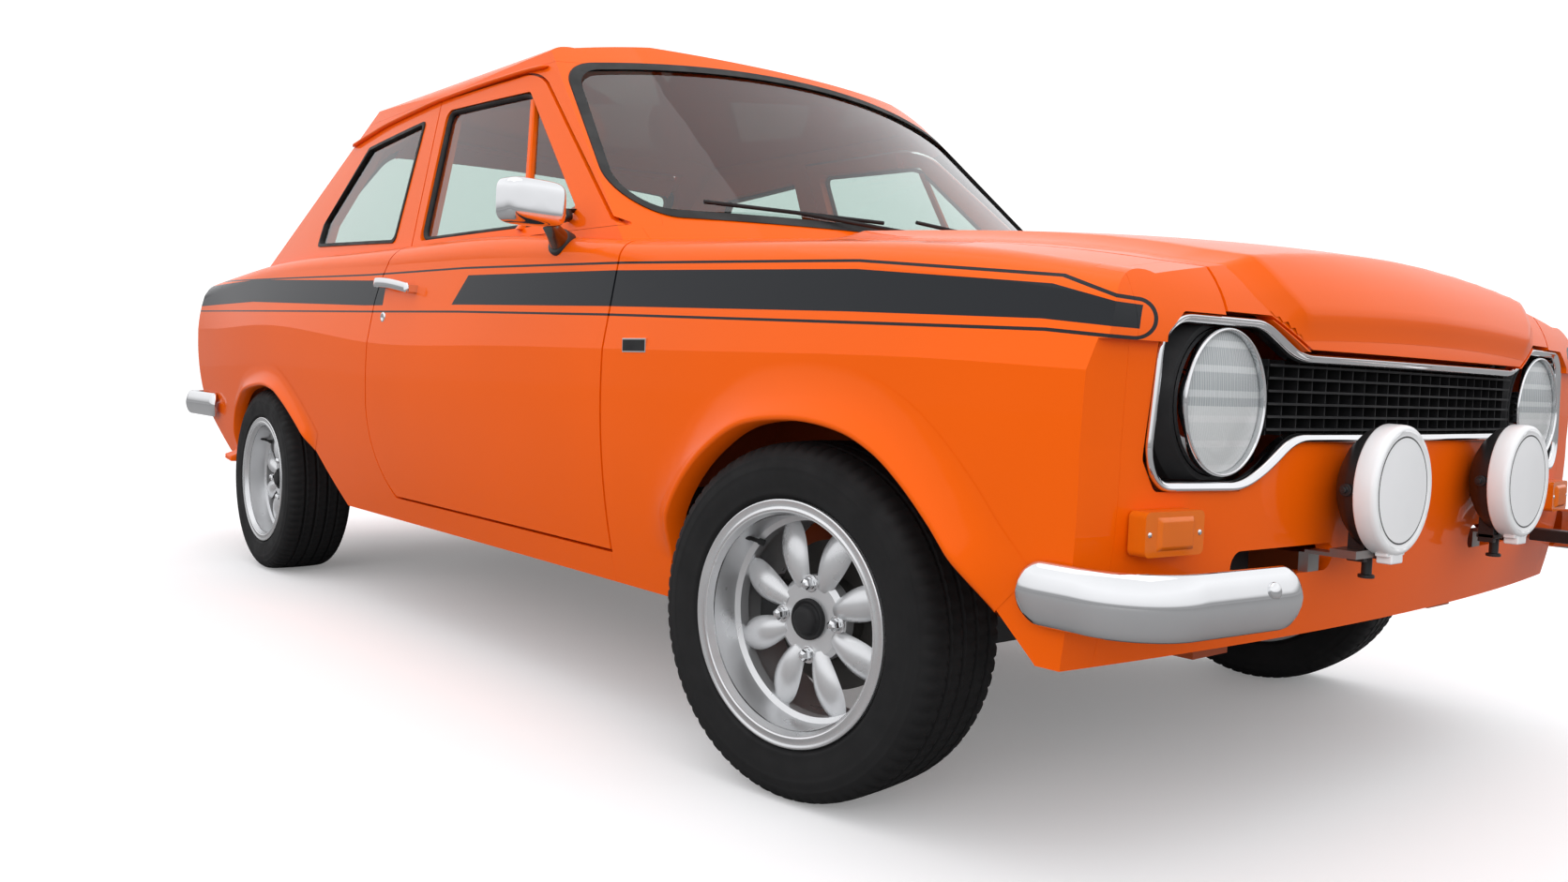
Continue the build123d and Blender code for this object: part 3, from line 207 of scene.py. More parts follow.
def glass(name, tint):
    """Thin window glass: mostly clear, with reflections. Its Principled shader is left unlinked."""
    s = Shader(name)
    s.set(base_color=tint, roughness=s.remap(s.noise(3.0, 5.0), 0.4, 0.7, 0.0, 0.03),
          transmission_weight=1.0, ior=1.45)
    clear = s.node("BsdfTransparent", {"Color": tint}).outputs[0]
    shine = s.node("BsdfGlossy", {"Color": (1, 1, 1, 1), "Roughness": 0.01}).outputs[0]
    outside = s.minus(1.0, s.node("NewGeometry").outputs["Backfacing"])
    fresnel = s.times(s.node("Fresnel", {"IOR": 1.62}).outputs[0], outside)
    blend = s.node("MixShader", {0: fresnel, 1: clear, 2: shine}).outputs[0]
    feed(s.tree, s.tree.nodes["Material Output"].inputs[0], blend)
    return s.mat


def fluted_lens():
    """Pressed lamp glass with upright flutes in its bump. Its colour is painted light: stripes of lighter and darker
    colour are painted glints and shade of the flutes and prisms, darker above the middle as painted shade and
    brighter below it as painted light.
    """
    flute_pitch, prism_pitch, middle = 0.0042, 0.031, 0.6125
    s = Shader("lamp_glass_painted_light")
    _, y, z = s.split(s.coords)
    # painted glints and shade: the flutes and prism rows as stripes of lighter and darker colour
    flute = s.remap(s.math("SINE", s.times(y, 2 * pi / flute_pitch)), -1.0, 1.0, 0.0, 1.0)
    rows = s.remap(s.math("SINE", s.times(z, 2 * pi / prism_pitch)), 0.55, 0.75, 0.0, 1.0)
    painted_glint_shade = s.times(s.plus(flute, rows), 0.6)
    # painted shade above the middle (greyer) and painted light below it (near white)
    high = s.mix(painted_glint_shade, (0.52, 0.56, 0.57), (0.9, 0.93, 0.94))
    low = s.mix(painted_glint_shade, (0.84, 0.87, 0.87), (0.99, 1.0, 1.0))
    s.set(base_color=s.mix(s.under(z, middle), high, low), transmission_weight=0.42, ior=1.45)
    s.set(roughness=s.cloud(60.0, 0.05, 0.11), normal=s.bump(flute, 0.35, 0.0006))
    return s.mat


SPOT_X, SPOT_Y, SPOT_Z = 1.949, 0.2215, 0.506


def ringed_cover():
    """White cover plastic with one thin black ring line on its face."""
    ring_r, ring_half, face_x = 0.0725, 0.0012, 1.944
    s = Shader("lamp_cover_ringed")
    x, y, z = s.split(s.coords)
    r = s.distance(s.minus(s.size(y), SPOT_Y), s.minus(z, SPOT_Z))
    face = s.times(s.under(s.size(s.minus(r, ring_r)), ring_half), s.over(x, face_x))
    white = s.mix(s.cloud(9.0, 0, 1), (0.9, 0.91, 0.92), (0.94, 0.945, 0.95))
    s.set(base_color=s.mix(face, white, (0.02, 0.02, 0.02)), coat_weight=0.5, coat_roughness=0.08)
    s.set(roughness=s.cloud(2.0, 0.31, 0.34), normal=s.bump(s.noise(300.0), 0.02, 0.00005))
    return s.mat


BLACK = plain("satin_black", (0.016, 0.016, 0.017), 0.42)
MATT = plain("matt_black", (0.01, 0.01, 0.011), 0.7)
STEEL = plain("steel", (0.4, 0.39, 0.38), 0.35, 1.0)
# each slot's own finish
FINISH = {
    "body_paint": paint("paint_orange", True),
    # inner surfaces: the body's orange paint made much darker, painted shade of the car's shaded insides
    "inner_paint": plain("inner_paint", (0.42, 0.07, 0.008), 0.5),
    "tyre": plain("tyre_rubber", (0.012, 0.012, 0.0125), 0.72, grain=500.0, depth=0.0001, specular_ior_level=0.3),
    "rubber": plain("rubber", (0.012, 0.012, 0.012), 0.62, grain=300.0),
    "wheel_silver": plain("wheel_silver", (0.74, 0.75, 0.76), 0.3, 0.7, grain=400.0, depth=0.00004, vary=0.05),
    "chrome": plain("chrome", (0.82, 0.83, 0.84), 0.06, 1.0, grain=30.0, depth=0.00005, vary=0.05),
    "cast_iron": plain("cast_iron", (0.1, 0.095, 0.09), 0.7, 0.6),
    "black_vinyl": plain("vinyl_black", (0.018, 0.018, 0.019), 0.5, grain=700.0, depth=0.0004),
    "lamp_white": plain("lamp_cover_white", (0.8, 0.8, 0.78), 0.22, grain=90.0, depth=0.00004, vary=0.03),
    "amber_lens": plain("amber_lens", (0.96, 0.2, 0.006), 0.15, transmission_weight=0.15),
    "red_lens": plain("red_lens", (0.45, 0.01, 0.008), 0.15, transmission_weight=0.25),
    "glass": glass("window_glass", (0.8, 0.86, 0.84)),
    "chassis_black": BLACK, "black_plastic": MATT, "exhaust_steel": STEEL, "lamp_bar_steel": STEEL,
}
# finishes of single pieces
UNSTRIPED = paint("paint_orange_plain", False)
LIP = plain("wheel_lip", (0.86, 0.87, 0.88), 0.17, 0.9, grain=200.0, depth=0.00003)
STEM = plain("dark_chrome", (0.2, 0.21, 0.2), 0.22, 1.0)
REFLECTOR = plain("lamp_reflector", (0.96, 0.97, 0.98), 0.25, 0.45, grain=20.0, vary=0.03)
LENS, COVER = fluted_lens(), ringed_cover()

for part in frame["record"]["subparts"]:
    mesh = NODES[part["node"]].data
    mesh.materials.clear()
    mesh.materials.append(FINISH[part["material_slot"]])


# ---- mesh helpers
def piece(name, verts, faces, slot, body="root", mat=None, smooth=True, bevel=0.0):
    """A mesh object from points and faces, riding on a body, in its slot's finish or another."""
    mesh = bpy.data.meshes.new(name)
    mesh.from_pydata([tuple(v) for v in verts], [], faces)
    bm = bmesh.new()
    bm.from_mesh(mesh)
    bmesh.ops.remove_doubles(bm, verts=bm.verts, dist=1e-6)
    bmesh.ops.recalc_face_normals(bm, faces=bm.faces)
    bm.to_mesh(mesh)
    bm.free()
    mesh.materials.append(mat or FINISH[slot])
    for face in mesh.polygons:
        face.use_smooth = smooth
    obj = bpy.data.objects.new(name, mesh)
    bpy.context.scene.collection.objects.link(obj)
    if bevel:
        mod = obj.modifiers.new("bevel", "BEVEL")
        mod.width, mod.segments, mod.limit_method = bevel, 2, "ANGLE"
        mod.harden_normals = True
    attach(obj, body)
    return obj


moved = Matrix.Translation


def frame_at(origin, axis, up=(0, 0, 1)):
    """A matrix whose X is axis and whose Z is as near to up as it can be."""
    x = Vector(axis).normalized()
    y = Vector(up).cross(x).normalized()
    z = x.cross(y)
    return moved(Vector(origin)) @ Matrix((x, y, z)).transposed().to_4x4()


def ring_faces(rows, count, close_rows=False, close_ring=True):
    """Quads between rows of count points each."""
    faces = []
    for i in range(rows if close_rows else rows - 1):
        a, b = i * count, ((i + 1) % rows) * count
        for j in range(count if close_ring else count - 1):
            k = (j + 1) % count
            faces.append((a + j, a + k, b + k, b + j))
    return faces


def lathe(profile, matrix, steps):
    """Points and faces of a turned shape. Profile rows: place along X, radius, in metres."""
    verts = []
    for along, radius in profile:
        for j in range(steps):
            t = 2 * pi * j / steps
            verts.append(matrix @ Vector((along, radius * sin(t), radius * cos(t))))
    return verts, ring_faces(len(profile), steps)


def tube_faces(rows, count):
    """Faces of a solid bar: quads between its rows, and both ends."""
    return ring_faces(rows, count) + [tuple(range(count)), tuple(range((rows - 1) * count, rows * count))]


def mm(rows):
    """Rows of millimetres as metres."""
    return [tuple(v * 0.001 for v in row) for row in rows]


def merged(*shapes):
    """Several (points, faces) as one."""
    verts, faces = [], []
    for v, f in shapes:
        shift = len(verts)
        verts += list(v)
        faces += [tuple(i + shift for i in face) for face in f]
    return verts, faces


def rounded_box(lo, hi, matrix=None):
    """A box's points and faces between two corners, its edges left to a bevel."""
    matrix = matrix or Matrix.Identity(4)
    xs = [(x, y, z) for x in (lo[0], hi[0]) for y in (lo[1], hi[1]) for z in (lo[2], hi[2])]
    faces = [(0, 1, 3, 2), (4, 6, 7, 5), (0, 4, 5, 1), (2, 3, 7, 6), (0, 2, 6, 4), (1, 5, 7, 3)]
    return [matrix @ Vector(v) for v in xs], faces


def block(name, lo, hi, slot, bevel):
    """A box with eased edges as a piece of its own."""
    piece(name, *rounded_box(lo, hi), slot, smooth=False, bevel=bevel)


def both(function):
    """What a function makes on the right side and on the left."""
    return [function(name, sign) for name, sign in SIDES]


def span(sign, a, b):
    """Two distances from the middle as y values of a side, the lower one first."""
    return sorted((sign * a, sign * b))


def hexagon(matrix, flats, height, dome):
    """A hex nut with a small dome, along X from the matrix's origin."""
    r = flats / sqrt(3)
    rows = [(0, r), (height * 0.8, r), (height, r * 0.86), (height + dome, r * 0.45), (height + dome * 1.2, 0)]
    return lathe(rows, matrix, 6)


def beside(line, i):
    """The points before and after number i of an open line."""
    return line[max(0, i - 1)], line[min(len(line) - 1, i + 1)]


def smoothed(values, times):
    """A row of numbers, each drawn towards its neighbours; the ends stay."""
    for _ in range(times):
        middle = [(a + 2 * b + c) / 4 for a, b, c in zip(values, values[1:], values[2:])]
        values = [values[0]] + middle + [values[-1]]
    return values


def swept(path, sides, profile, taper):
    """A profile of (out, up) points carried along a path; sides are its outward directions.
    taper is the distance over which both ends round off."""
    dist = [0.0]
    for a, b in zip(path, path[1:]):
        dist.append(dist[-1] + (Vector(b) - Vector(a)).length)
    mid = [sum(p[k] for p in profile) / len(profile) for k in (0, 1)]
    verts = []
    for p, side, d in zip(path, sides, dist):
        end = min(d, dist[-1] - d)
        f = sqrt(max(0.0, 1 - max(0.0, 1 - end / taper) ** 2)) * 0.999 + 0.001    # never quite a point
        for out, high in profile:
            o = mid[0] + (out - mid[0]) * f
            h = mid[1] + (high - mid[1]) * f
            verts.append(Vector(p) + Vector(side) * o + Vector((0, 0, h)))
    return verts, ring_faces(len(path), len(profile))


# ---- finding the body's surface
OUTSIDE = 1.2              # a place beyond either side of the car, where rays start


def tree_of(*names):
    """A search tree over the meshes of CAD nodes."""
    verts, faces = [], []
    for name in names:
        mesh = NODES[name].data
        shift = len(verts)
        verts += [v.co.copy() for v in mesh.vertices]
        faces += [tuple(i + shift for i in p.vertices) for p in mesh.polygons]
    return BVHTree.FromPolygons(verts, faces)


SIDE_TREE = {name: tree_of("front_wing_" + name, "door_" + name, "body_side_" + name, "front_panel", "roof_panel")
             for name in SIGN}
PANE_TREE = {name: tree_of("door_glass_" + name) for name in SIGN}


def side_hit(tree, sign, x, z):
    """Where a level ray from outside that side meets the tree, or None."""
    return tree.ray_cast(Vector((x, sign * OUTSIDE, z)), Vector((0, -sign, 0)))[0]


def on_side(name, x, z, fallback=0.78):
    """The outermost |y| of the body at this place of a side."""
    hit = side_hit(SIDE_TREE[name], SIGN[name], x, z)
    return abs(hit.y) if hit and abs(hit.y) > 0.35 else fallback


# ---- wheels
PITCHES, PER_PITCH = 74, 4     # the tread's repeats round the tyre, and steps in each
# Half of the tyre's section. Columns: place across, radius, depth of the cross grooves there (mm)
SECTION = (
    (79.7, 183.4, 0), (83.0, 184.4, 0), (86.2, 188.5, 0), (88.6, 190.0, 0), (89.6, 192.0, 0), (89.4, 194.5, 0),
    (91.0, 203.0, 0), (92.6, 214.0, 0), (93.0, 222.0, 0), (92.6, 228.0, 0), (92.9, 229.0, 0), (92.7, 231.0, 0),
    (91.4, 238.0, 0), (89.6, 243.5, 0), (89.9, 245.0, 0), (88.9, 246.5, 0), (87.2, 250.0, 1.2),
    (84.8, 254.5, 2.4), (81.0, 259.0, 3.4), (76.0, 262.6, 4.0), (70.0, 264.8, 4.0), (62.0, 266.2, 3.6),
    (52.5, 266.9, 3.0), (49.5, 267.0, 0), (48.6, 260.0, 0), (43.4, 260.0, 0), (42.5, 267.3, 0), (40.0, 267.4, 2.0),
    (31.0, 267.6, 2.6), (22.0, 267.7, 2.0), (19.2, 267.7, 0), (18.4, 260.2, 0), (12.6, 260.2, 0),
    (11.8, 267.9, 0), (9.0, 268.0, 1.8), (0.0, 268.0, 2.4),
)
WHEELS = {"fl": 1, "fr": -1, "rl": 1, "rr": -1}      # each with the side it is on
JOINTS = {j["name"]: j for j in frame["joints"]}


def wheel_frame(tag):
    """The wheel's own frame: X outboard along its axle, Z near up."""
    joint = JOINTS["wheel_%s_spin" % tag]
    return frame_at(joint["pos_m"], Vector(joint["axis"]) * WHEELS[tag])


def tyre(tag):
    """The whole tyre: four grooves round it, and the tread's cross grooves, which lean a little."""
    place = wheel_frame(tag)
    rows = list(SECTION) + [(-w, r, d) for w, r, d in reversed(SECTION[:-1])]
    steps = PITCHES * PER_PITCH
    verts = []
    for w, r, depth in rows:
        slant = 0.9 * w / 90.0
        for j in range(steps):
            t = 2 * pi * (j + slant) / steps
            cut = depth if j % PER_PITCH == 0 else 0.0
            rr = (r - cut) * 0.001
            verts.append(place @ Vector((w * 0.001, rr * sin(t), rr * cos(t))))
    faces = ring_faces(len(rows), steps, close_rows=True)
    obj = piece("tyre_tread_" + tag, verts, faces, "tyre", "wheel_" + tag)
    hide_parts("tyre_" + tag)


NUT_OUT, NUT_CIRCLE, FLATS = 0.0295, 0.054, 0.0165
VALVE_OUT, VALVE_CIRCLE = 0.03, 0.147


def wheel_trim(tag):
    """The rim's polished lip, the hub cap, four nuts on their washers and the valve."""
    body, place = "wheel_" + tag, wheel_frame(tag)
    lip = mm([(77, 165.4), (79, 168), (81, 177), (83, 182.5), (86.0, 184.2), (88.2, 182.8), (88.4, 180.5),
              (86.8, 178.2), (86.4, 170.5), (87.6, 169), (87.2, 167.0), (84, 164.2), (76.5, 160.6),
              (74, 158.8), (74, 160.8), (77, 165.4)])
    piece("rim_lip_" + tag, *lathe(lip, place, 128), "wheel_silver", body, mat=LIP)
    cap = mm([(29, 30.5), (33, 31.5), (37, 31), (38.6, 29.5), (38.6, 27.5), (36.5, 25.5), (36, 23), (41, 21),
              (45.5, 19.5), (47.5, 16), (47.8, 9), (47.8, 0)])
    piece("hub_cap_" + tag, *lathe(cap, place, 48), "black_plastic", body)
    shapes = []
    for k in range(4):
        t = radians(90 * k)
        spot = place @ moved((NUT_OUT, NUT_CIRCLE * sin(t), NUT_CIRCLE * cos(t)))
        shapes.append(lathe(mm([(0.5, 13.8), (1.6, 13.6), (2.4, 12.4), (2.4, 9)]), spot, 24))
        shapes.append(hexagon(spot @ Matrix.Rotation(0.3 + k, 4, "X"), FLATS, 0.015, 0.003))
    piece("wheel_nuts_" + tag, *merged(*shapes), "chrome", body, smooth=False, bevel=0.0008)
    stem = place @ Matrix.Rotation(radians(45), 4, "X") @ moved((VALVE_OUT, 0, VALVE_CIRCLE))
    stem = stem @ Matrix.Rotation(radians(-28), 4, "Y")
    rows = mm([(-4, 5.5), (4, 5.2), (6, 3.6), (20, 3.2), (20.5, 4.2), (28, 4.2), (29.5, 3.2), (29.5, 0)])
    piece("tyre_valve_" + tag, *lathe(rows, stem, 16), "rubber", body)


for wheel in WHEELS:
    tyre(wheel)
    wheel_trim(wheel)


# ---- headlamps
NOSE_X, NOSE_BOW_R = 1.872, 6.0
LAMP_Y, LAMP_Z = 0.519, 0.6175


def nose_x(y):
    """The nose's bowed face: its x at a distance from the middle."""
    return NOSE_X - y * y / (2 * NOSE_BOW_R)


def lamp_lens(name, place):
    """A domed disc pressed with upright flutes, finer ones below the middle, as a closed shell."""
    steps, rows, verts = 96, 40, []
    dome, rim = 0.34, 0.0888
    for back in (0, 1):
        for i in range(rows + 1):
            r = rim * i / rows
            for j in range(steps):
                t = 2 * pi * j / steps
                y, z = r * sin(t), r * cos(t)
                x = 0.0075 - (dome - sqrt(dome * dome - r * r))
                flute = 0.5 + 0.5 * cos(y / (0.0084 if z > -0.005 else 0.0042) * 2 * pi)
                band = 0.35 if z > 0.046 else 1.0
                edge = min(1.0, (rim - r) / 0.008)
                x += (-0.003 + 0.0009 * flute * band * edge) if back else 0.0005 * flute * edge
                verts.append(place @ Vector((x + 0.002, y, z)))
    front, layer = ring_faces(rows + 1, steps), (rows + 1) * steps
    faces = front + [tuple(v + layer for v in reversed(f)) for f in front]
    for j in range(steps):
        a, b = rows * steps + j, rows * steps + (j + 1) % steps
        faces.append((a, b, b + layer, a + layer))
    return piece("lamp_lens_" + name, verts, faces, "glass", mat=LENS)


def headlamp(name, sign):
    """One headlamp: chrome ring, reflector, bulb shield and lens."""
    place = moved((nose_x(LAMP_Y), sign * LAMP_Y, LAMP_Z))
    ring = mm([(-6, 93.2), (3, 93.2), (5.6, 92.6), (6.6, 91.2), (6.2, 89.8), (4, 89.0), (-2, 88.8), (-5.4, 88.6)])
    piece("lamp_ring_" + name, *lathe(ring, place, 96), "chrome")
    bowl = [(-0.072 + r * r / 0.118, r) for r in (0.0, 0.012, 0.022, 0.034, 0.046, 0.057, 0.067, 0.075, 0.0815)]
    bowl += [(-0.0052, 0.0826), (-0.0052, 0.0884)]
    piece("lamp_reflector_" + name, *lathe(bowl, place, 64), "chrome", mat=REFLECTOR)
    shield = mm([(-52, 0), (-50, 6), (-46, 9), (-30, 9.5), (-24, 7), (-22, 0)])
    piece("lamp_bulb_" + name, *lathe(shield, place, 24), "chrome")
    return lamp_lens(name, place)


LENSES = both(headlamp)
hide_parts("headlamp_lenses")


# ---- spot lamps
def spot_lamp(name, sign):
    """One spot lamp: clipped cover, housing, and the bracket that holds it to its bar."""
    place = moved((SPOT_X, sign * SPOT_Y, SPOT_Z))
    cover = mm([(-30, 85.0), (-30, 88.6), (-27, 89.4), (-8, 89.0), (-3.4, 87.8), (-0.8, 85.4), (0, 82.5),
                (-0.4, 79.6), (-1.8, 77.6), (-2.0, 74), (-1.2, 60), (-0.4, 40), (0, 20), (0.2, 0)])
    tab = rounded_box((-0.026, -0.017, -0.1005), (-0.004, 0.017, -0.0855), place)
    step = rounded_box((-0.024, -0.0265, -0.0905), (-0.006, 0.0265, -0.08), place)
    out = piece("spot_cover_" + name, *merged(lathe(cover, place, 96), tab, step), "lamp_white", mat=COVER,
                bevel=0.0025)
    back = mm([(-27, 84.6), (-40, 83.5), (-46, 80.5), (-60, 66), (-70, 50), (-77, 30), (-78.5, 14), (-78.5, 0)])
    piece("spot_housing_" + name, *lathe(back, place, 72), "black_plastic", mat=BLACK)
    stub = place @ moved((-0.04, -0.094, 0.0)) @ frame_at((0, 0, 0), (0, 1, 0))
    low = place @ moved((-0.045, 0, -0.092)) @ frame_at((0, 0, 0), (0, 0, -1), (1, 0, 0))
    shapes = [lathe(mm([(0, 0), (0, 4), (6, 4), (6, 8.5), (14, 8.5), (14, 0)]), stub, 20),
              lathe(mm([(-10, 7), (28, 7), (28, 11), (33, 11), (33, 0)]), low, 20)]
    for lo, hi in (((-0.058, -0.034, -0.1), (-0.034, -0.022, -0.06)),
                   ((-0.058, 0.022, -0.1), (-0.034, 0.034, -0.06)),
                   ((-0.06, -0.034, -0.0935), (-0.032, 0.034, -0.0865))):
        shapes.append(rounded_box(lo, hi, place))
    piece("spot_bracket_" + name, *merged(*shapes), "black_plastic", mat=BLACK, smooth=False, bevel=0.0012)
    return out


COVERS = both(spot_lamp)
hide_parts("spot_lamps")


# ---- bumpers
def arc(centre, radius, start, end, count):
    """Points (x, y) along an arc between two angles in degrees."""
    start, end = radians(start), radians(end)
    return [(centre[0] + radius * cos(a), centre[1] + radius * sin(a))
            for a in (start + (end - start) * i / count for i in range(count + 1))]


def plan_path(points, z):
    """Points (x, y) at height z, made dense, and their outward directions, on the left of the line."""
    dense = [Vector(points[0])]
    for a, b in zip(points, points[1:]):
        a, b = Vector(a), Vector(b)
        count = max(1, round((b - a).length / 0.004))
        dense += [a + (b - a) * (i + 1) / count for i in range(count)]
    sides = []
    for i in range(len(dense)):
        a, b = beside(dense, i)
        d = (b - a).normalized()
        sides.append((-d.y, d.x, 0))
    return [(p.x, p.y, z) for p in dense], sides


BLADE = mm([(0, 38), (4, 38.6), (9, 37.6), (14, 31), (18, 21), (21, 10), (22.4, 2), (22.2, -5), (20.5, -16),
            (16.5, -28), (11, -36), (6, -38.6), (2, -38), (4, -30), (10, -20), (15, -6), (15, 4), (11, 20), (4, 32)])
BLADE_END, BUMPER_Y, BOW = 0.034, 0.772, 3.8      # rounded length, half-width, degrees of the rear's arc each side


def bumper(name, path, sides):
    """A pressed chrome blade along a path."""
    return piece(name, *swept(path, sides, BLADE, BLADE_END), "chrome")


def front_bumper(name, sign):
    """A quarter bumper with its bolt and stay."""
    line = [(1.748, BUMPER_Y), (1.836, BUMPER_Y)] + arc((1.836, 0.682), 0.09, 90, 6, 20)
    ahead = radians(-84)
    line.append((line[-1][0] + 0.19 * cos(ahead), line[-1][1] + 0.19 * sin(ahead)))
    path, sides = ([(x, sign * y, z) for x, y, z in rows] for rows in plan_path(line, 0.388))
    blade = bumper("bumper_front_" + name, path, sides)
    dome = frame_at((1.9595, sign * 0.571, 0.402), (1, sign * 0.105, 0.28))
    bolt = lathe(mm([(-3, 0), (-3, 10), (0.6, 10.4), (2.6, 8.6), (4.2, 5), (4.8, 0)]), dome, 32)
    piece("bumper_bolt_" + name, *bolt, "chrome")
    y0, y1 = span(sign, 0.556, 0.586)
    block("bumper_stay_" + name, (1.841, y0, 0.38), (1.946, y1, 0.402), "chassis_black", 0.002)
    return blade


def rear_bumper():
    """The full-width blade, bowed between its rounded corners."""
    half = [(-1.562, -BUMPER_Y), (-1.855, -BUMPER_Y)]
    half += arc((-1.855, -BUMPER_Y + 0.08), 0.08, -90, -90 - 86.2, 20)[1:]
    corner_x, corner_y = half[-1]
    radius = corner_y / -sin(radians(BOW))
    centre = (corner_x + radius * cos(radians(BOW)), 0.0)
    line = half + arc(centre, radius, 180 + BOW, 180 - BOW, 40)[1:]
    line += [(x, -y) for x, y in reversed(half[:-1])]
    path, sides = plan_path(line, 0.468)
    if sides[len(path) // 2][0] > 0:
        sides = [(-x, -y, z) for x, y, z in sides]
    return bumper("bumper_rear", path, sides)


blades = both(front_bumper) + [rear_bumper()]
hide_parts("bumpers")
for name, sign in SIDES:
    y0, y1 = span(sign, 0.43, 0.46)
    block("rear_stay_" + name, (-1.95, y0, 0.438), (-1.76, y1, 0.45), "chassis_black", 0.002)


# ---- indicators' screws and lenses
def indicator(name, sign):
    """A raised lens with small prisms between its two screws."""
    for k, y in enumerate((0.587, 0.677)):
        place = frame_at((nose_x(y) + 0.0235, sign * y, 0.46), (1, sign * y / NOSE_BOW_R, 0))
        rows = mm([(-1, 0), (-1, 3.6), (0.8, 3.6), (1.8, 2.6), (2.1, 0)])
        piece("indicator_screw_%s_%d" % (name, k), *lathe(rows, place, 20), "chrome")
    verts, cols, rows = [], 44, 24
    for i in range(rows + 1):
        for j in range(cols + 1):
            y, z = 0.599 + 0.066 * j / cols, 0.439 + 0.042 * i / rows
            edge = min(1.0, min(i, rows - i) / 3, min(j, cols - j) / 3)
            cell = 0.5 + 0.25 * cos(j * pi) + 0.25 * cos(i * pi)
            verts.append((nose_x(y) + 0.0232 + 0.0042 * edge + 0.0008 * cell * edge, sign * y, z))
    faces = ring_faces(rows + 1, cols + 1, close_ring=False)
    piece("indicator_lens_" + name, verts, faces, "amber_lens")


both(indicator)


# ---- arch flares
def smooth_step(a, b, v):
    """0 before a, 1 after b, and an even rise between them."""
    t = max(0.0, min(1.0, (v - a) / (b - a)))
    return t * t * (3 - 2 * t)


def arch_points(anchors, count):
    """A smooth curve through places (x, z) round a wheel opening, with its outward normals."""
    pts = [Vector(p) for p in anchors]
    dense = []
    for i in range(len(pts) - 1):
        p0, p1, p2, p3 = pts[max(0, i - 1)], pts[i], pts[i + 1], pts[min(len(pts) - 1, i + 2)]
        for k in range(count):
            t = k / count
            dense.append(0.5 * ((2 * p1) + (p2 - p0) * t + (2 * p0 - 5 * p1 + 4 * p2 - p3) * t * t
                                + (3 * p1 - p0 - 3 * p2 + p3) * t ** 3))
    dense.append(pts[-1])
    steps = [beside(dense, i) for i in range(len(dense))]
    return dense, [Vector((a.y - b.y, b.x - a.x)).normalized() for a, b in steps]


FRONT_ARCH = ((1.000, 0.318), (1.023, 0.392), (1.075, 0.46), (1.148, 0.519), (1.234, 0.56), (1.345, 0.573),
              (1.441, 0.564), (1.508, 0.54), (1.56, 0.505), (1.612, 0.456), (1.654, 0.407), (1.706, 0.354))
REAR_ARCH = ((-1.394, 0.3), (-1.383, 0.382), (-1.345, 0.45), (-1.285, 0.502), (-1.215, 0.534), (-1.06, 0.552),
             (-0.96, 0.543), (-0.904, 0.525), (-0.834, 0.492), (-0.77, 0.455), (-0.718, 0.419), (-0.674, 0.385))


def flare(label, name, anchors, width, proud):
    """A lip pulled out round a wheel opening, fading into the body's side."""
    line, normals = arch_points(anchors, 8)
    verts, total, across = [], len(line), 14
    for i, (p, n) in enumerate(zip(line, normals)):
        fade = smooth_step(0, 1, min(i / 10, (total - 1 - i) / 10))
        rows = []
        for k in range(across + 1):
            s = k / across
            q = p + n * (0.004 + width * (1 - s))
            rows.append((q, on_side(name, q.x, q.y) + proud * fade * s ** 2.2 + 0.0006))
        edge = rows[-1][1]
        rows += [(p - n * 0.001, edge + 0.001 * fade), (p - n * 0.005, edge - 0.002),
                 (p - n * 0.006, edge - 0.02 - proud * fade)]
        verts += [(q.x, SIGN[name] * y, q.y) for q, y in rows]
    faces = ring_faces(total, across + 4, close_ring=False)
    piece("arch_flare_%s_%s" % (label, name), verts, faces, "body_paint", mat=UNSTRIPED)


for name in SIGN:
    flare("front", name, FRONT_ARCH, 0.075, 0.02)
    flare("rear", name, REAR_ARCH, 0.055, 0.014)


# ---- trims that lie on the body
PROBES = ((0, 0), (-0.012, -0.006), (0.012, -0.006), (0, -0.01), (0, 0.006))
DRIP = ((-0.846, 1.237), (-0.6, 1.264), (-0.262, 1.281), (0.000, 1.284), (0.19, 1.284), (0.262, 1.28))
DRIP_HALF, DRIP_HIGH = 0.0045, 0.01
POST = ((0.215, 1.214), (0.337, 0.914))
POST_SECTION = mm([(-9, -4), (-9, 6), (-6, 9), (6, 9), (9, 6), (9, -4)])


def drip_rail(name, sign):
    """A thin bead over the side windows, seated on the body."""
    dense = []
    for (x0, z0), (x1, z1) in zip(DRIP, DRIP[1:]):
        count = max(1, round(hypot(x1 - x0, z1 - z0) / 0.02))
        dense += [(x0 + (x1 - x0) * i / count, z0 + (z1 - z0) * i / count) for i in range(count)]
    dense.append(DRIP[-1])
    dense = list(zip(*(smoothed(column, 3) for column in zip(*dense))))
    ys = smoothed([max(on_side(name, x + dx, z + dz, 0.0) for dx, dz in PROBES) for x, z in dense], 4)
    verts, ring = [], 10
    for i, ((x, z), y) in enumerate(zip(dense, ys)):
        a, b = beside(dense, i)
        d = Vector((b[0] - a[0], 0, b[1] - a[1])).normalized()
        across = Vector((-d.z, 0, d.x)) * DRIP_HALF
        f = 0.35 if i in (0, len(dense) - 1) else 1.0
        for k in range(ring):
            t = 2 * pi * k / ring
            out = sign * (y + DRIP_HIGH * f * (0.25 + 0.75 * sin(t)))
            verts.append(Vector((x, out, z)) + across * f * cos(t))
    piece("drip_rail_" + name, verts, tube_faces(len(dense), ring), "body_paint", mat=UNSTRIPED)


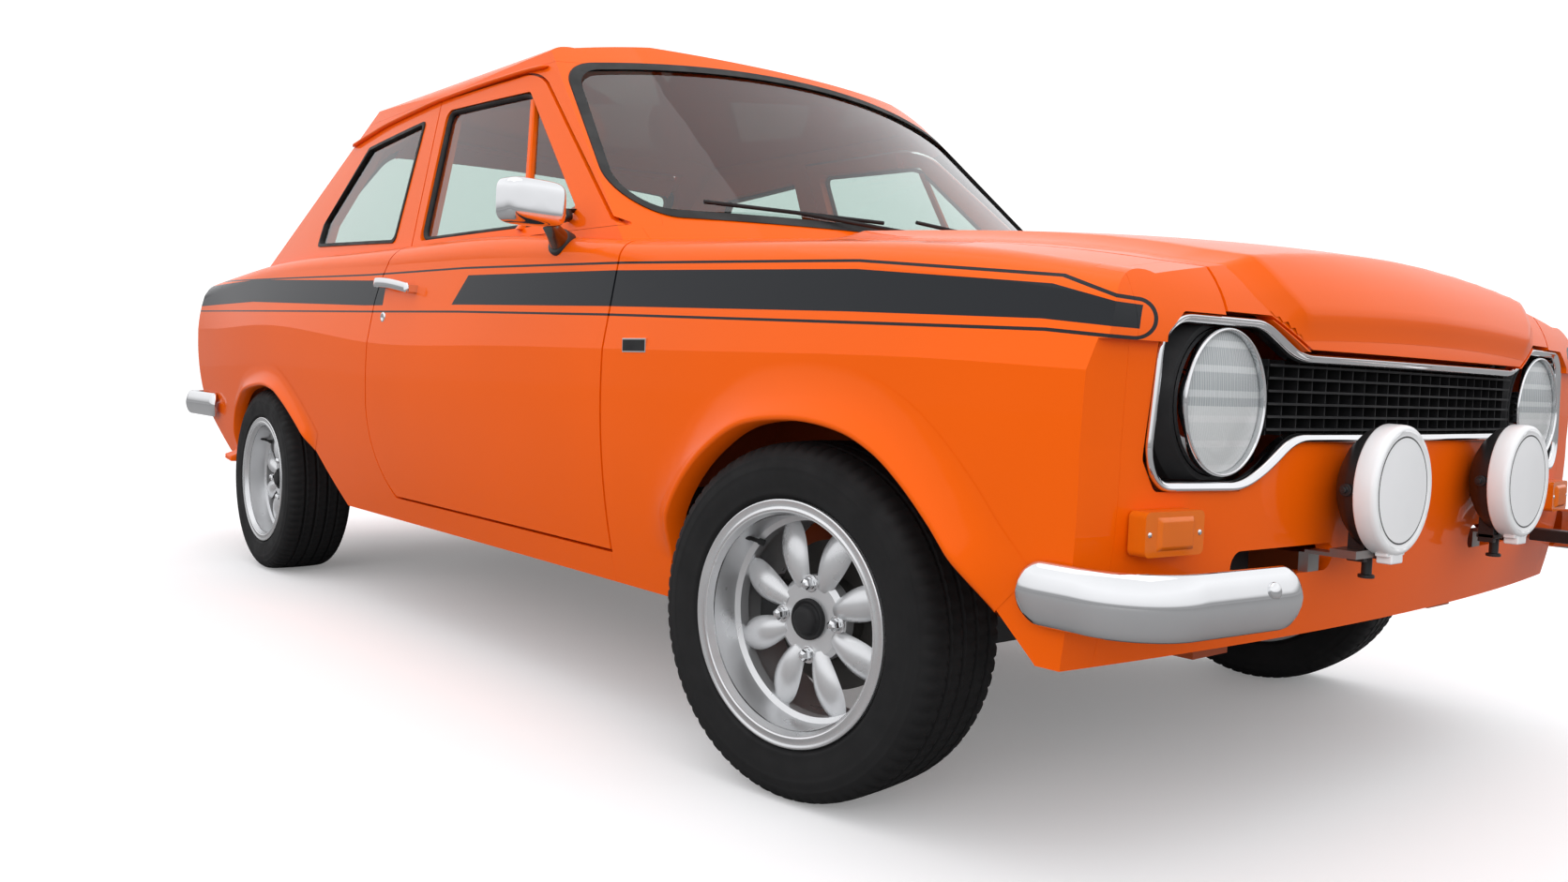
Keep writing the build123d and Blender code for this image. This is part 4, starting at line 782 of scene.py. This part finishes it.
def quarter_post(name, sign):
    """The post between the two panes of a door, along the glass."""
    verts, rows = [], 13
    (x0, z0), (x1, z1) = POST
    for i in range(rows):
        x, z = x0 + (x1 - x0) * i / (rows - 1), z0 + (z1 - z0) * i / (rows - 1)
        hit = side_hit(PANE_TREE[name], sign, x, z)
        y = abs(hit.y) if hit else 0.7 - (z - 0.92) * 0.5
        verts += [(x + dx, sign * (y + dy), z) for dx, dy in POST_SECTION]
    faces = ring_faces(rows, len(POST_SECTION))
    piece("quarter_post_" + name, verts, faces, "body_paint", "door_" + name, mat=UNSTRIPED, smooth=False)


def lock_and_plate(name, sign):
    """The door's lock button, and the bare plate between the front wheel and the door."""
    lock_x, lock_z, plate_x, plate_z = -0.204, 0.735, 0.91, 0.673
    place = frame_at((lock_x, sign * (on_side(name, lock_x, lock_z) - 0.002), lock_z), (0, sign, 0))
    lock = lathe(mm([(0, 12.5), (2.5, 12.5), (4.5, 10.5), (4.5, 7), (3.4, 6.4), (3.4, 0)]), place, 32)
    piece("door_lock_" + name, *lock, "chrome", "door_" + name)
    y = on_side(name, plate_x, plate_z)
    for label, depth, proud, wide, high, slot, bevel in (
            ("", 0.004, 0.0025, 0.036, 0.012, "chrome", 0.0008),
            ("face_", -0.001, 0.0031, 0.0335, 0.0095, "black_plastic", 0.0004)):
        y0, y1 = span(sign, y - depth, y + proud)
        block("wing_plate_" + label + name, (plate_x - wide, y0, plate_z - high),
              (plate_x + wide, y1, plate_z + high), slot, bevel)


for name, sign in SIDES:
    drip_rail(name, sign)
    quarter_post(name, sign)
    lock_and_plate(name, sign)


# ---- bonnet's raised middle
# Seen from a line across the car low down, at each angle (degrees above forward): half the raised part's width
HUB_X, HUB_Z = 1.1, 0.1
SWAGE = ((37.7, 0.357), (39.5, 0.388), (41.0, 0.418), (43.5, 0.446), (47.0, 0.456), (52.7, 0.44), (62.0, 0.424),
         (75.0, 0.408), (97.5, 0.395))
FLANK = 0.056              # how far its sides slope down


def table_value(rows, at):
    """Straight lines between the rows of a table."""
    for (a, low), (b, high) in zip(rows, rows[1:]):
        if at <= b:
            return low + (high - low) * max(0.0, at - a) / (b - a)
    return rows[-1][1]


def bonnet_swage():
    """The raised middle of the bonnet with a crisp crease each side, over the top and down the nose."""
    skin, hub = tree_of("bonnet"), Vector((HUB_X, 0, HUB_Z))
    flanks = (0.03, 0.08, 0.15, 0.24, 0.35, 0.48, 0.62, 0.78, 0.9, 1.0, 1.06)
    across = [(-1, t) for t in reversed(flanks)] + [(k / 24, 0.0) for k in range(-24, 25)] + [(1, t) for t in flanks]
    back, nose, rows, verts, missed = 97.2, 37.75, 150, [], set()
    for i in range(rows + 1):
        angle = back - (back - nose) * i / rows
        out = Vector((cos(radians(angle)), 0, sin(radians(angle))))
        half = table_value(SWAGE, angle)
        ends = smooth_step(nose, 39.4, angle) * (1 - smooth_step(93.0, 97.0, angle))
        for side, t in across:
            y = side * half + copysign(FLANK * t, side)
            hit = skin.ray_cast(hub + Vector((0, y, 0)) + out * 1.6, -out)[0]
            if hit is None:
                missed.add(len(verts))
            crown = 1.0 + 0.15 * (1 - abs(side)) if t == 0 else max(0.0, 1 - t) ** 1.4
            lift = 0.0135 * crown * ends + (0.0004 if t < 1 else -0.0007)
            verts.append(hit + out * lift if hit else Vector((HUB_X, y, 0.8)))
    faces = [f for f in ring_faces(rows + 1, len(across), close_ring=False)
             if not missed.intersection(f) and max((verts[f[0]] - verts[v]).length for v in f) < 0.05]
    piece("bonnet_swage", verts, faces, "body_paint", "bonnet", mat=UNSTRIPED)


bonnet_swage()


# ---- seats
def outline_points(corners, radius, count):
    """A closed outline with rounded corners, as evenly spread points (x, z)."""
    pts, n = [], len(corners)
    for i in range(n):
        p, a, b = Vector(corners[i]), Vector(corners[i - 1]), Vector(corners[(i + 1) % n])
        da, db = (a - p).normalized(), (b - p).normalized()
        r = min(radius, (a - p).length * 0.48, (b - p).length * 0.48)
        for k in range(9):
            t = k / 8
            pts.append((1 - t) ** 2 * (p + da * r) + 2 * t * (1 - t) * p + t * t * (p + db * r))
    lengths = [0.0]
    for a, b in zip(pts, pts[1:] + pts[:1]):
        lengths.append(lengths[-1] + (b - a).length)
    out, k = [], 0
    for i in range(count):
        at = lengths[-1] * i / count
        while lengths[k + 1] < at:
            k += 1
        f = (at - lengths[k]) / max(1e-9, lengths[k + 1] - lengths[k])
        out.append(pts[k].lerp(pts[(k + 1) % len(pts)], f))
    return out


def inward_of(line, i):
    """The direction across a closed outline at its point i, on the right of the way round."""
    d = (line[(i + 1) % len(line)] - line[i - 1]).normalized()
    return Vector((d.y, -d.x))


def pad(name, corners, y0, y1, radius, pleats, crown=0.012):
    """A stuffed pad: its side outline swells in the middle, rounds off at the ends and has sewn channels."""
    ring, rows = 96, 120
    outline = outline_points(corners, radius, ring)
    mid = sum(outline, Vector((0, 0))) / ring
    centre, half = (y0 + y1) / 2, (y1 - y0) / 2
    inner = half * 0.8
    pitch = 2 * inner / pleats
    verts = []
    for i in range(rows + 1):
        t = 2 * i / rows - 1
        y = centre + half * (sin(t * pi / 2) * 0.35 + t * 0.65)
        s = abs(2 * (y - y0) / (y1 - y0) - 1)
        end = (1 - s ** 7) ** (1 / 7) if s < 1 else 0.0
        groove = 0.0
        if abs(y - centre) < inner:
            at = (y - centre + inner) / pitch
            near = abs(at - round(at)) * pitch
            groove = 0.0055 * exp(-(near / 0.006) ** 2)
        grow = crown * (1 - s * s) - 0.006 - groove
        for p in outline:
            d = p - mid
            q = mid + d * max(0.03, end) + d.normalized() * grow * end
            verts.append((q.x, y, q.y))
    obj = piece(name, verts, tube_faces(rows + 1, ring), "black_vinyl")
    return obj


SEAT_Y, SEAT_W, FLOOR_Z = 0.358, 0.44, 0.2913
FRONT_CUSHION = mm([(0, 342), (498, 352), (498, 466), (32, 438)])
FRONT_BACK = mm([(-18, 345), (66, 352), (-114, 980), (-206, 956)])
REAR_CUSHION = mm([(-846, 424), (-434, 424), (-404, 468), (-846, 440)])
REAR_BACK = mm([(-968, 440), (-806, 440), (-882, 876), (-968, 878)])
for name, sign in SIDES:
    y0, y1 = sign * SEAT_Y - SEAT_W / 2, sign * SEAT_Y + SEAT_W / 2
    pad("seat_cushion_" + name, FRONT_CUSHION, y0, y1, 0.05, 6)
    pad("seat_back_" + name, FRONT_BACK, y0 + 0.004, y1 - 0.004, 0.045, 6)
    block("seat_base_" + name, (0.06, y0 + 0.04, FLOOR_Z), (0.42, y1 - 0.04, 0.352), "chassis_black", 0.004)
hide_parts("front_seats")
rear = [pad("rear_cushion_" + name, REAR_CUSHION, *span(sign, 0.004, 0.526), 0.03, 5, 0.004)
        for name, sign in SIDES]
for name, sign in SIDES:
    y0, y1 = span(sign, 0.134, 0.526)
    block("rear_seat_base_" + name, (-0.846, y0, FLOOR_Z), (-0.436, y1, 0.43), "black_vinyl", 0.01)
rear.append(pad("rear_back", REAR_BACK, -0.526, 0.526, 0.03, 10, 0.006))
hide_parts("rear_seat")


# ---- header over the rear window
def rear_header():
    """The narrow band of roof skin between the rear window's rubber and the roof panel."""
    rubber, shell = tree_of("window_rubbers"), tree_of("roof_panel", "body_side_left", "body_side_right")
    step, columns, reach, top_z, verts = 0.002, 120, 0.6, 1.3, []

    def first(tree, y, heights):
        """The first of these heights at which a ray from behind meets the tree on the car's rear."""
        for z in heights:
            hit = tree.ray_cast(Vector((-3.0, y, z)), Vector((1, 0, 0)))[0]
            if hit and hit.x < -0.6:
                return hit

    for i in range(columns + 1):
        y = reach * (2 * i / columns - 1)
        low = first(rubber, y, [top_z - step * k for k in range(90)])
        high = first(shell, y, [(low.z if low else top_z) + step * k for k in range(60)])
        if low and high and high.z - low.z > 2 * step:
            run = (high - low).normalized()
            inward = Vector((run.z, 0, -run.x))
            bottom, top = low - run * 0.004 + inward * 0.0015, high + run * 0.001
            verts += [bottom, top, top + inward * 0.018, bottom + inward * 0.018]
    piece("rear_header", verts, tube_faces(len(verts) // 4, 4), "body_paint", mat=UNSTRIPED, smooth=False)


rear_header()


# ---- chrome frame round the grille
FRAME = ((0.361, 0.685), (0.445, 0.725), (0.618, 0.725), (0.652, 0.697), (0.666, 0.546), (0.642, 0.508),
         (0.478, 0.505), (0.43, 0.524), (0.363, 0.566))


def frame_bead():
    """A rounded chrome moulding along the outline of the grille and lamps."""
    line = outline_points(list(FRAME) + [(-y, z) for y, z in reversed(FRAME)], 0.026, 720)
    section = mm([(0.2, -2), (0.4, 5), (1.8, 7.4), (4.2, 8.4), (6.0, 7.2), (7.4, 5.6), (9.5, 5.2), (11.2, 3.6),
                  (12.8, 0), (12.8, -16), (11.4, -16), (11, -2)])
    verts = []
    for i, p in enumerate(line):
        inward = inward_of(line, i)
        for depth, proud in section:
            q = p + inward * depth
            verts.append((nose_x(q.x) + proud, q.x, q.y))
    faces = ring_faces(len(line), len(section), close_rows=True)
    obj = piece("frame_bead", verts, faces, "chrome")
    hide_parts("grille_surround")


frame_bead()


# ---- mirrors and door handles
def blob(matrix, size, flat=None):
    """A rounded box: a superellipsoid of that half-size; flat cuts its back off along X."""
    verts, steps, rows = [], 40, 24

    def bend(v):
        return copysign(abs(v) ** 0.42, v)

    for i in range(rows + 1):
        a = pi * (i / rows - 0.5)
        for j in range(steps):
            b = 2 * pi * j / steps
            x = size[0] * bend(sin(a))
            y = size[1] * bend(cos(a)) * bend(cos(b))
            z = size[2] * bend(cos(a)) * bend(sin(b))
            verts.append(matrix @ Vector((x if flat is None else max(x, flat), y, z)))
    return verts, ring_faces(rows + 1, steps)


def mirror(name, sign):
    """A boxy door mirror: chrome shell, glass, tapered stem and its round foot on the door."""
    door, foot_x, foot_z = "door_" + name, 0.584, 0.867
    head = moved((0.628, sign * 0.836, 0.93)) @ Matrix.Rotation(-sign * 0.12, 4, "Z")
    shell = piece("mirror_shell_" + name, *blob(head, (0.034, 0.066, 0.042), -0.012), "chrome", door)
    shell.modifiers.new("smooth", "SUBSURF").levels = 1
    back = head @ moved((-0.0125, 0, 0))
    piece("mirror_glass_" + name, *blob(back, (0.0018, 0.06, 0.037)), "chrome", door)
    foot = Vector((foot_x, sign * (on_side(name, foot_x, foot_z) - 0.002), foot_z))
    top = Vector((0.63, sign * 0.806, 0.906))
    length = (top - foot).length
    rows = [(-0.004, 0.0225), (0.01, 0.0215), (length * 0.5, 0.016), (length, 0.012), (length, 0.0)]
    stem = frame_at(foot, top - foot, (1, 0, 0))
    piece("mirror_stem_" + name, *lathe(rows, stem, 32), "black_plastic", door, mat=STEM)
    rows = mm([(-12, 27.5), (6, 27.5), (10.5, 26.5), (12.5, 23), (12.5, 0)])
    seat = frame_at(foot, (0.15, sign, 0.35), (1, 0, 0))
    piece("mirror_foot_" + name, *lathe(rows, seat, 32), "black_plastic", door, mat=BLACK)


def door_handle(name, sign):
    """A flat chrome paddle on two feet."""
    y, count = on_side(name, -0.13, 0.806), 20
    path = [(-0.232 + 0.205 * t, sign * (y + 0.024 + 0.006 * sin(pi * t)), 0.8195 - 0.02 * t ** 2)
            for t in (i / count for i in range(count + 1))]
    section = mm([(-4, -8), (-4, 6), (-2, 9), (2, 8.5), (4, 4), (5, -8), (3, -13), (-1, -12)])
    paddle = swept(path, [(0, sign, 0)] * len(path), section, 0.01)
    y0, y1 = span(sign, y - 0.004, y + 0.022)
    near = rounded_box((-0.222, y0, 0.806), (-0.204, y1, 0.823))
    far = rounded_box((-0.046, y0, 0.79), (-0.032, y1, 0.806))
    handle = piece("door_handle_" + name, *merged(paddle, near, far), "chrome", "door_" + name, bevel=0.0015)
    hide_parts("door_fittings_" + name)


for name, sign in SIDES:
    mirror(name, sign)
    door_handle(name, sign)


# ---- rubber round the door glass
DOOR_WINDOW = ((0.56, 0.918), (-0.148, 0.918), (-0.202, 1.246), (0.208, 1.232))
SEAL = mm([(0.3, -2), (0.3, 8), (2.5, 9.6), (6.5, 8.4), (9.5, 4), (10.5, -2)])

for name, sign in SIDES:
    line = outline_points(DOOR_WINDOW, 0.036, 420)
    verts, last = [], 0.7
    for i, p in enumerate(line):
        inward = inward_of(line, i)
        q = p + inward * 0.005
        hit = side_hit(PANE_TREE[name], sign, q.x, q.y)
        last = abs(hit.y) if hit else last
        for depth, proud in SEAL:
            q = p + inward * depth
            verts.append((q.x, sign * (last + proud), q.y))
    faces = ring_faces(len(line), len(SEAL), close_rows=True)
    piece("window_seal_" + name, verts, faces, "rubber", "door_" + name)


# ---- dials
shapes, dials = [], []
for k, (y, r) in enumerate(((-0.475, 0.026), (-0.4, 0.04), (-0.315, 0.04), (-0.24, 0.026))):
    place = frame_at((0.6405, y, 0.745), (-1, 0, 0.05))
    ring = [(-0.002, r + 0.004), (0.006, r + 0.004), (0.008, r + 0.002), (0.006, r), (0.002, r * 0.98)]
    shapes.append(lathe(ring, place, 40))
    needle = place @ Matrix.Rotation(0.7 * k - 1, 4, "X")
    dials += [lathe([(0.002, r * 0.99), (0.0025, 0)], place, 40),
              rounded_box((0.0026, -0.0008, -0.002), (0.0034, 0.0008, r * 0.8), needle)]
piece("dial_rings", *merged(*shapes), "chrome")
piece("dial_faces", *merged(*dials), "black_plastic", smooth=False)


# ---- toe boards and wheelhouse edges
TOE = ((0.79, 0.2915), (0.8435, 0.345), (0.8435, 0.43), (0.84, 0.43), (0.84, 0.3465), (0.786, 0.2915))
AXLE_X, AXLE_Z, HOUSE_Y, HOUSE_PLATE = -1.11, 0.268, 0.7, 0.006
pan = tree_of("floor_pan")
for name, sign in SIDES:
    verts = [(x, sign * y, z) for y in (0.131, 0.655) for x, z in TOE]
    piece("toe_board_" + name, verts, tube_faces(2, len(TOE)), "black_vinyl", mat=MATT, smooth=False)
    verts = []
    for k in range(61):
        angle = radians(24 + 2.2 * k)
        out = Vector((cos(angle), 0, sin(angle)))
        hit = pan.ray_cast(Vector((AXLE_X, sign * HOUSE_Y, AXLE_Z)), out)[0]
        if hit is None:
            continue
        base = Vector((hit.x, 0, hit.z)) + out * HOUSE_PLATE
        skin = on_side(name, base.x, base.z) - 0.012
        for y, rise in ((0.712, 0.0), (skin, 0.0), (skin, 0.003), (0.712, 0.003)):
            verts.append(base + out * rise + Vector((0, sign * y, 0)))
    faces = ring_faces(len(verts) // 4, 4)
    # in the inner paint, darkened as painted shade
    piece("wheelhouse_edge_" + name, verts, faces, "inner_paint", smooth=False)


# ---- camera, floor and light
def camera():
    """The viewpoint: place, heading, pitch and roll of a lens on a 36 mm frame."""
    place = Vector((2.677, -1.926, 0.632))
    yaw, pitch, roll = (radians(a) for a in (139.93, -3.15, 2.06))
    ahead = Vector((cos(pitch) * cos(yaw), cos(pitch) * sin(yaw), sin(pitch)))
    right = ahead.cross(Vector((0, 0, 1))).normalized()
    up = right.cross(ahead)
    r = cos(roll) * right + sin(roll) * up
    u = -sin(roll) * right + cos(roll) * up
    cam = bpy.data.objects.new("camera", bpy.data.cameras.new("camera"))
    cam.data.lens = 28.24
    cam.data.sensor_width = 36.0
    cam.data.shift_x = -0.0017
    cam.data.shift_y = 0.0011
    cam.data.clip_start = 0.05
    cam.matrix_world = moved(place) @ Matrix((r, u, -ahead)).transposed().to_4x4()
    bpy.context.scene.collection.objects.link(cam)
    bpy.context.scene.camera = cam


def area_light(name, place, target, size, power, mirrored=True):
    """A rectangular soft light; mirrored says whether gloss and chrome show it."""
    light = bpy.data.lights.new(name, "AREA")
    light.shape = "RECTANGLE"
    light.size, light.size_y = size
    light.energy = power
    obj = bpy.data.objects.new(name, light)
    direction = Vector(target) - Vector(place)
    obj.matrix_world = moved(place) @ direction.to_track_quat("-Z", "Y").to_matrix().to_4x4()
    obj.visible_glossy = mirrored
    bpy.context.scene.collection.objects.link(obj)


def stage():
    """A plain pale floor, a white room and three soft lights."""
    floor = bpy.data.meshes.new("floor")
    h = 30.0
    floor.from_pydata([(-h, -h, 0), (h, -h, 0), (h, h, 0), (-h, h, 0)], [], [(0, 1, 2, 3)])
    obj = bpy.data.objects.new("floor", floor)
    bpy.context.scene.collection.objects.link(obj)
    s = Shader("floor_white")
    seen = s.node("LightPath").outputs["Is Camera Ray"]
    s.set(base_color=s.mix(seen, (0.3, 0.3, 0.3), (0.9, 0.9, 0.905)), roughness=s.cloud(0.8, 0.55, 0.7))
    s.set(specular_ior_level=0.0, emission_color=(1.0, 1.0, 1.0), emission_strength=s.times(seen, 0.16))
    floor.materials.append(s.mat)
    bpy.context.scene.view_settings.view_transform = "Standard"
    world = bpy.data.worlds.new("white_room")
    bpy.context.scene.world = world
    world.use_nodes = True
    tree = world.node_tree
    # a soft sky for light and reflections: bright above, with a dim band low down; plain white to the eye
    coords = add_node(tree, "TexCoord").outputs["Generated"]
    ramp = add_node(tree, "ValToRGB", {0: add_node(tree, "SeparateXYZ", {0: coords}).outputs[2]})
    for k, (at, level) in enumerate(((0.0, 0.34), (0.05, 0.3), (0.12, 0.8), (0.4, 1.0), (1.0, 0.86))):
        stop = ramp.color_ramp.elements[k] if k < 2 else ramp.color_ramp.elements.new(at)
        stop.position, stop.color = at, (level, level, level * 1.02, 1)
    seen = add_node(tree, "LightPath").outputs["Is Camera Ray"]
    white = add_node(tree, "Mix", {0: seen, 6: ramp.outputs[0], 7: (1.0, 1.0, 1.0)}, data_type="RGBA").outputs[2]
    background = tree.nodes["Background"]
    feed(tree, background.inputs[0], white)
    background.inputs[1].default_value = 1.16
    area_light("overhead", (0.5, -1.0, 6.0), (0.2, 0, 0.5), (9.0, 5.0), 60)
    area_light("front_fill", (6.0, -8.0, 3.0), (0.2, 0, 0.6), (7.0, 5.0), 260, mirrored=False)
    area_light("back_fill", (-7.0, 7.5, 3.5), (0.0, 0, 0.6), (7.0, 5.0), 160, mirrored=False)


camera()
stage()
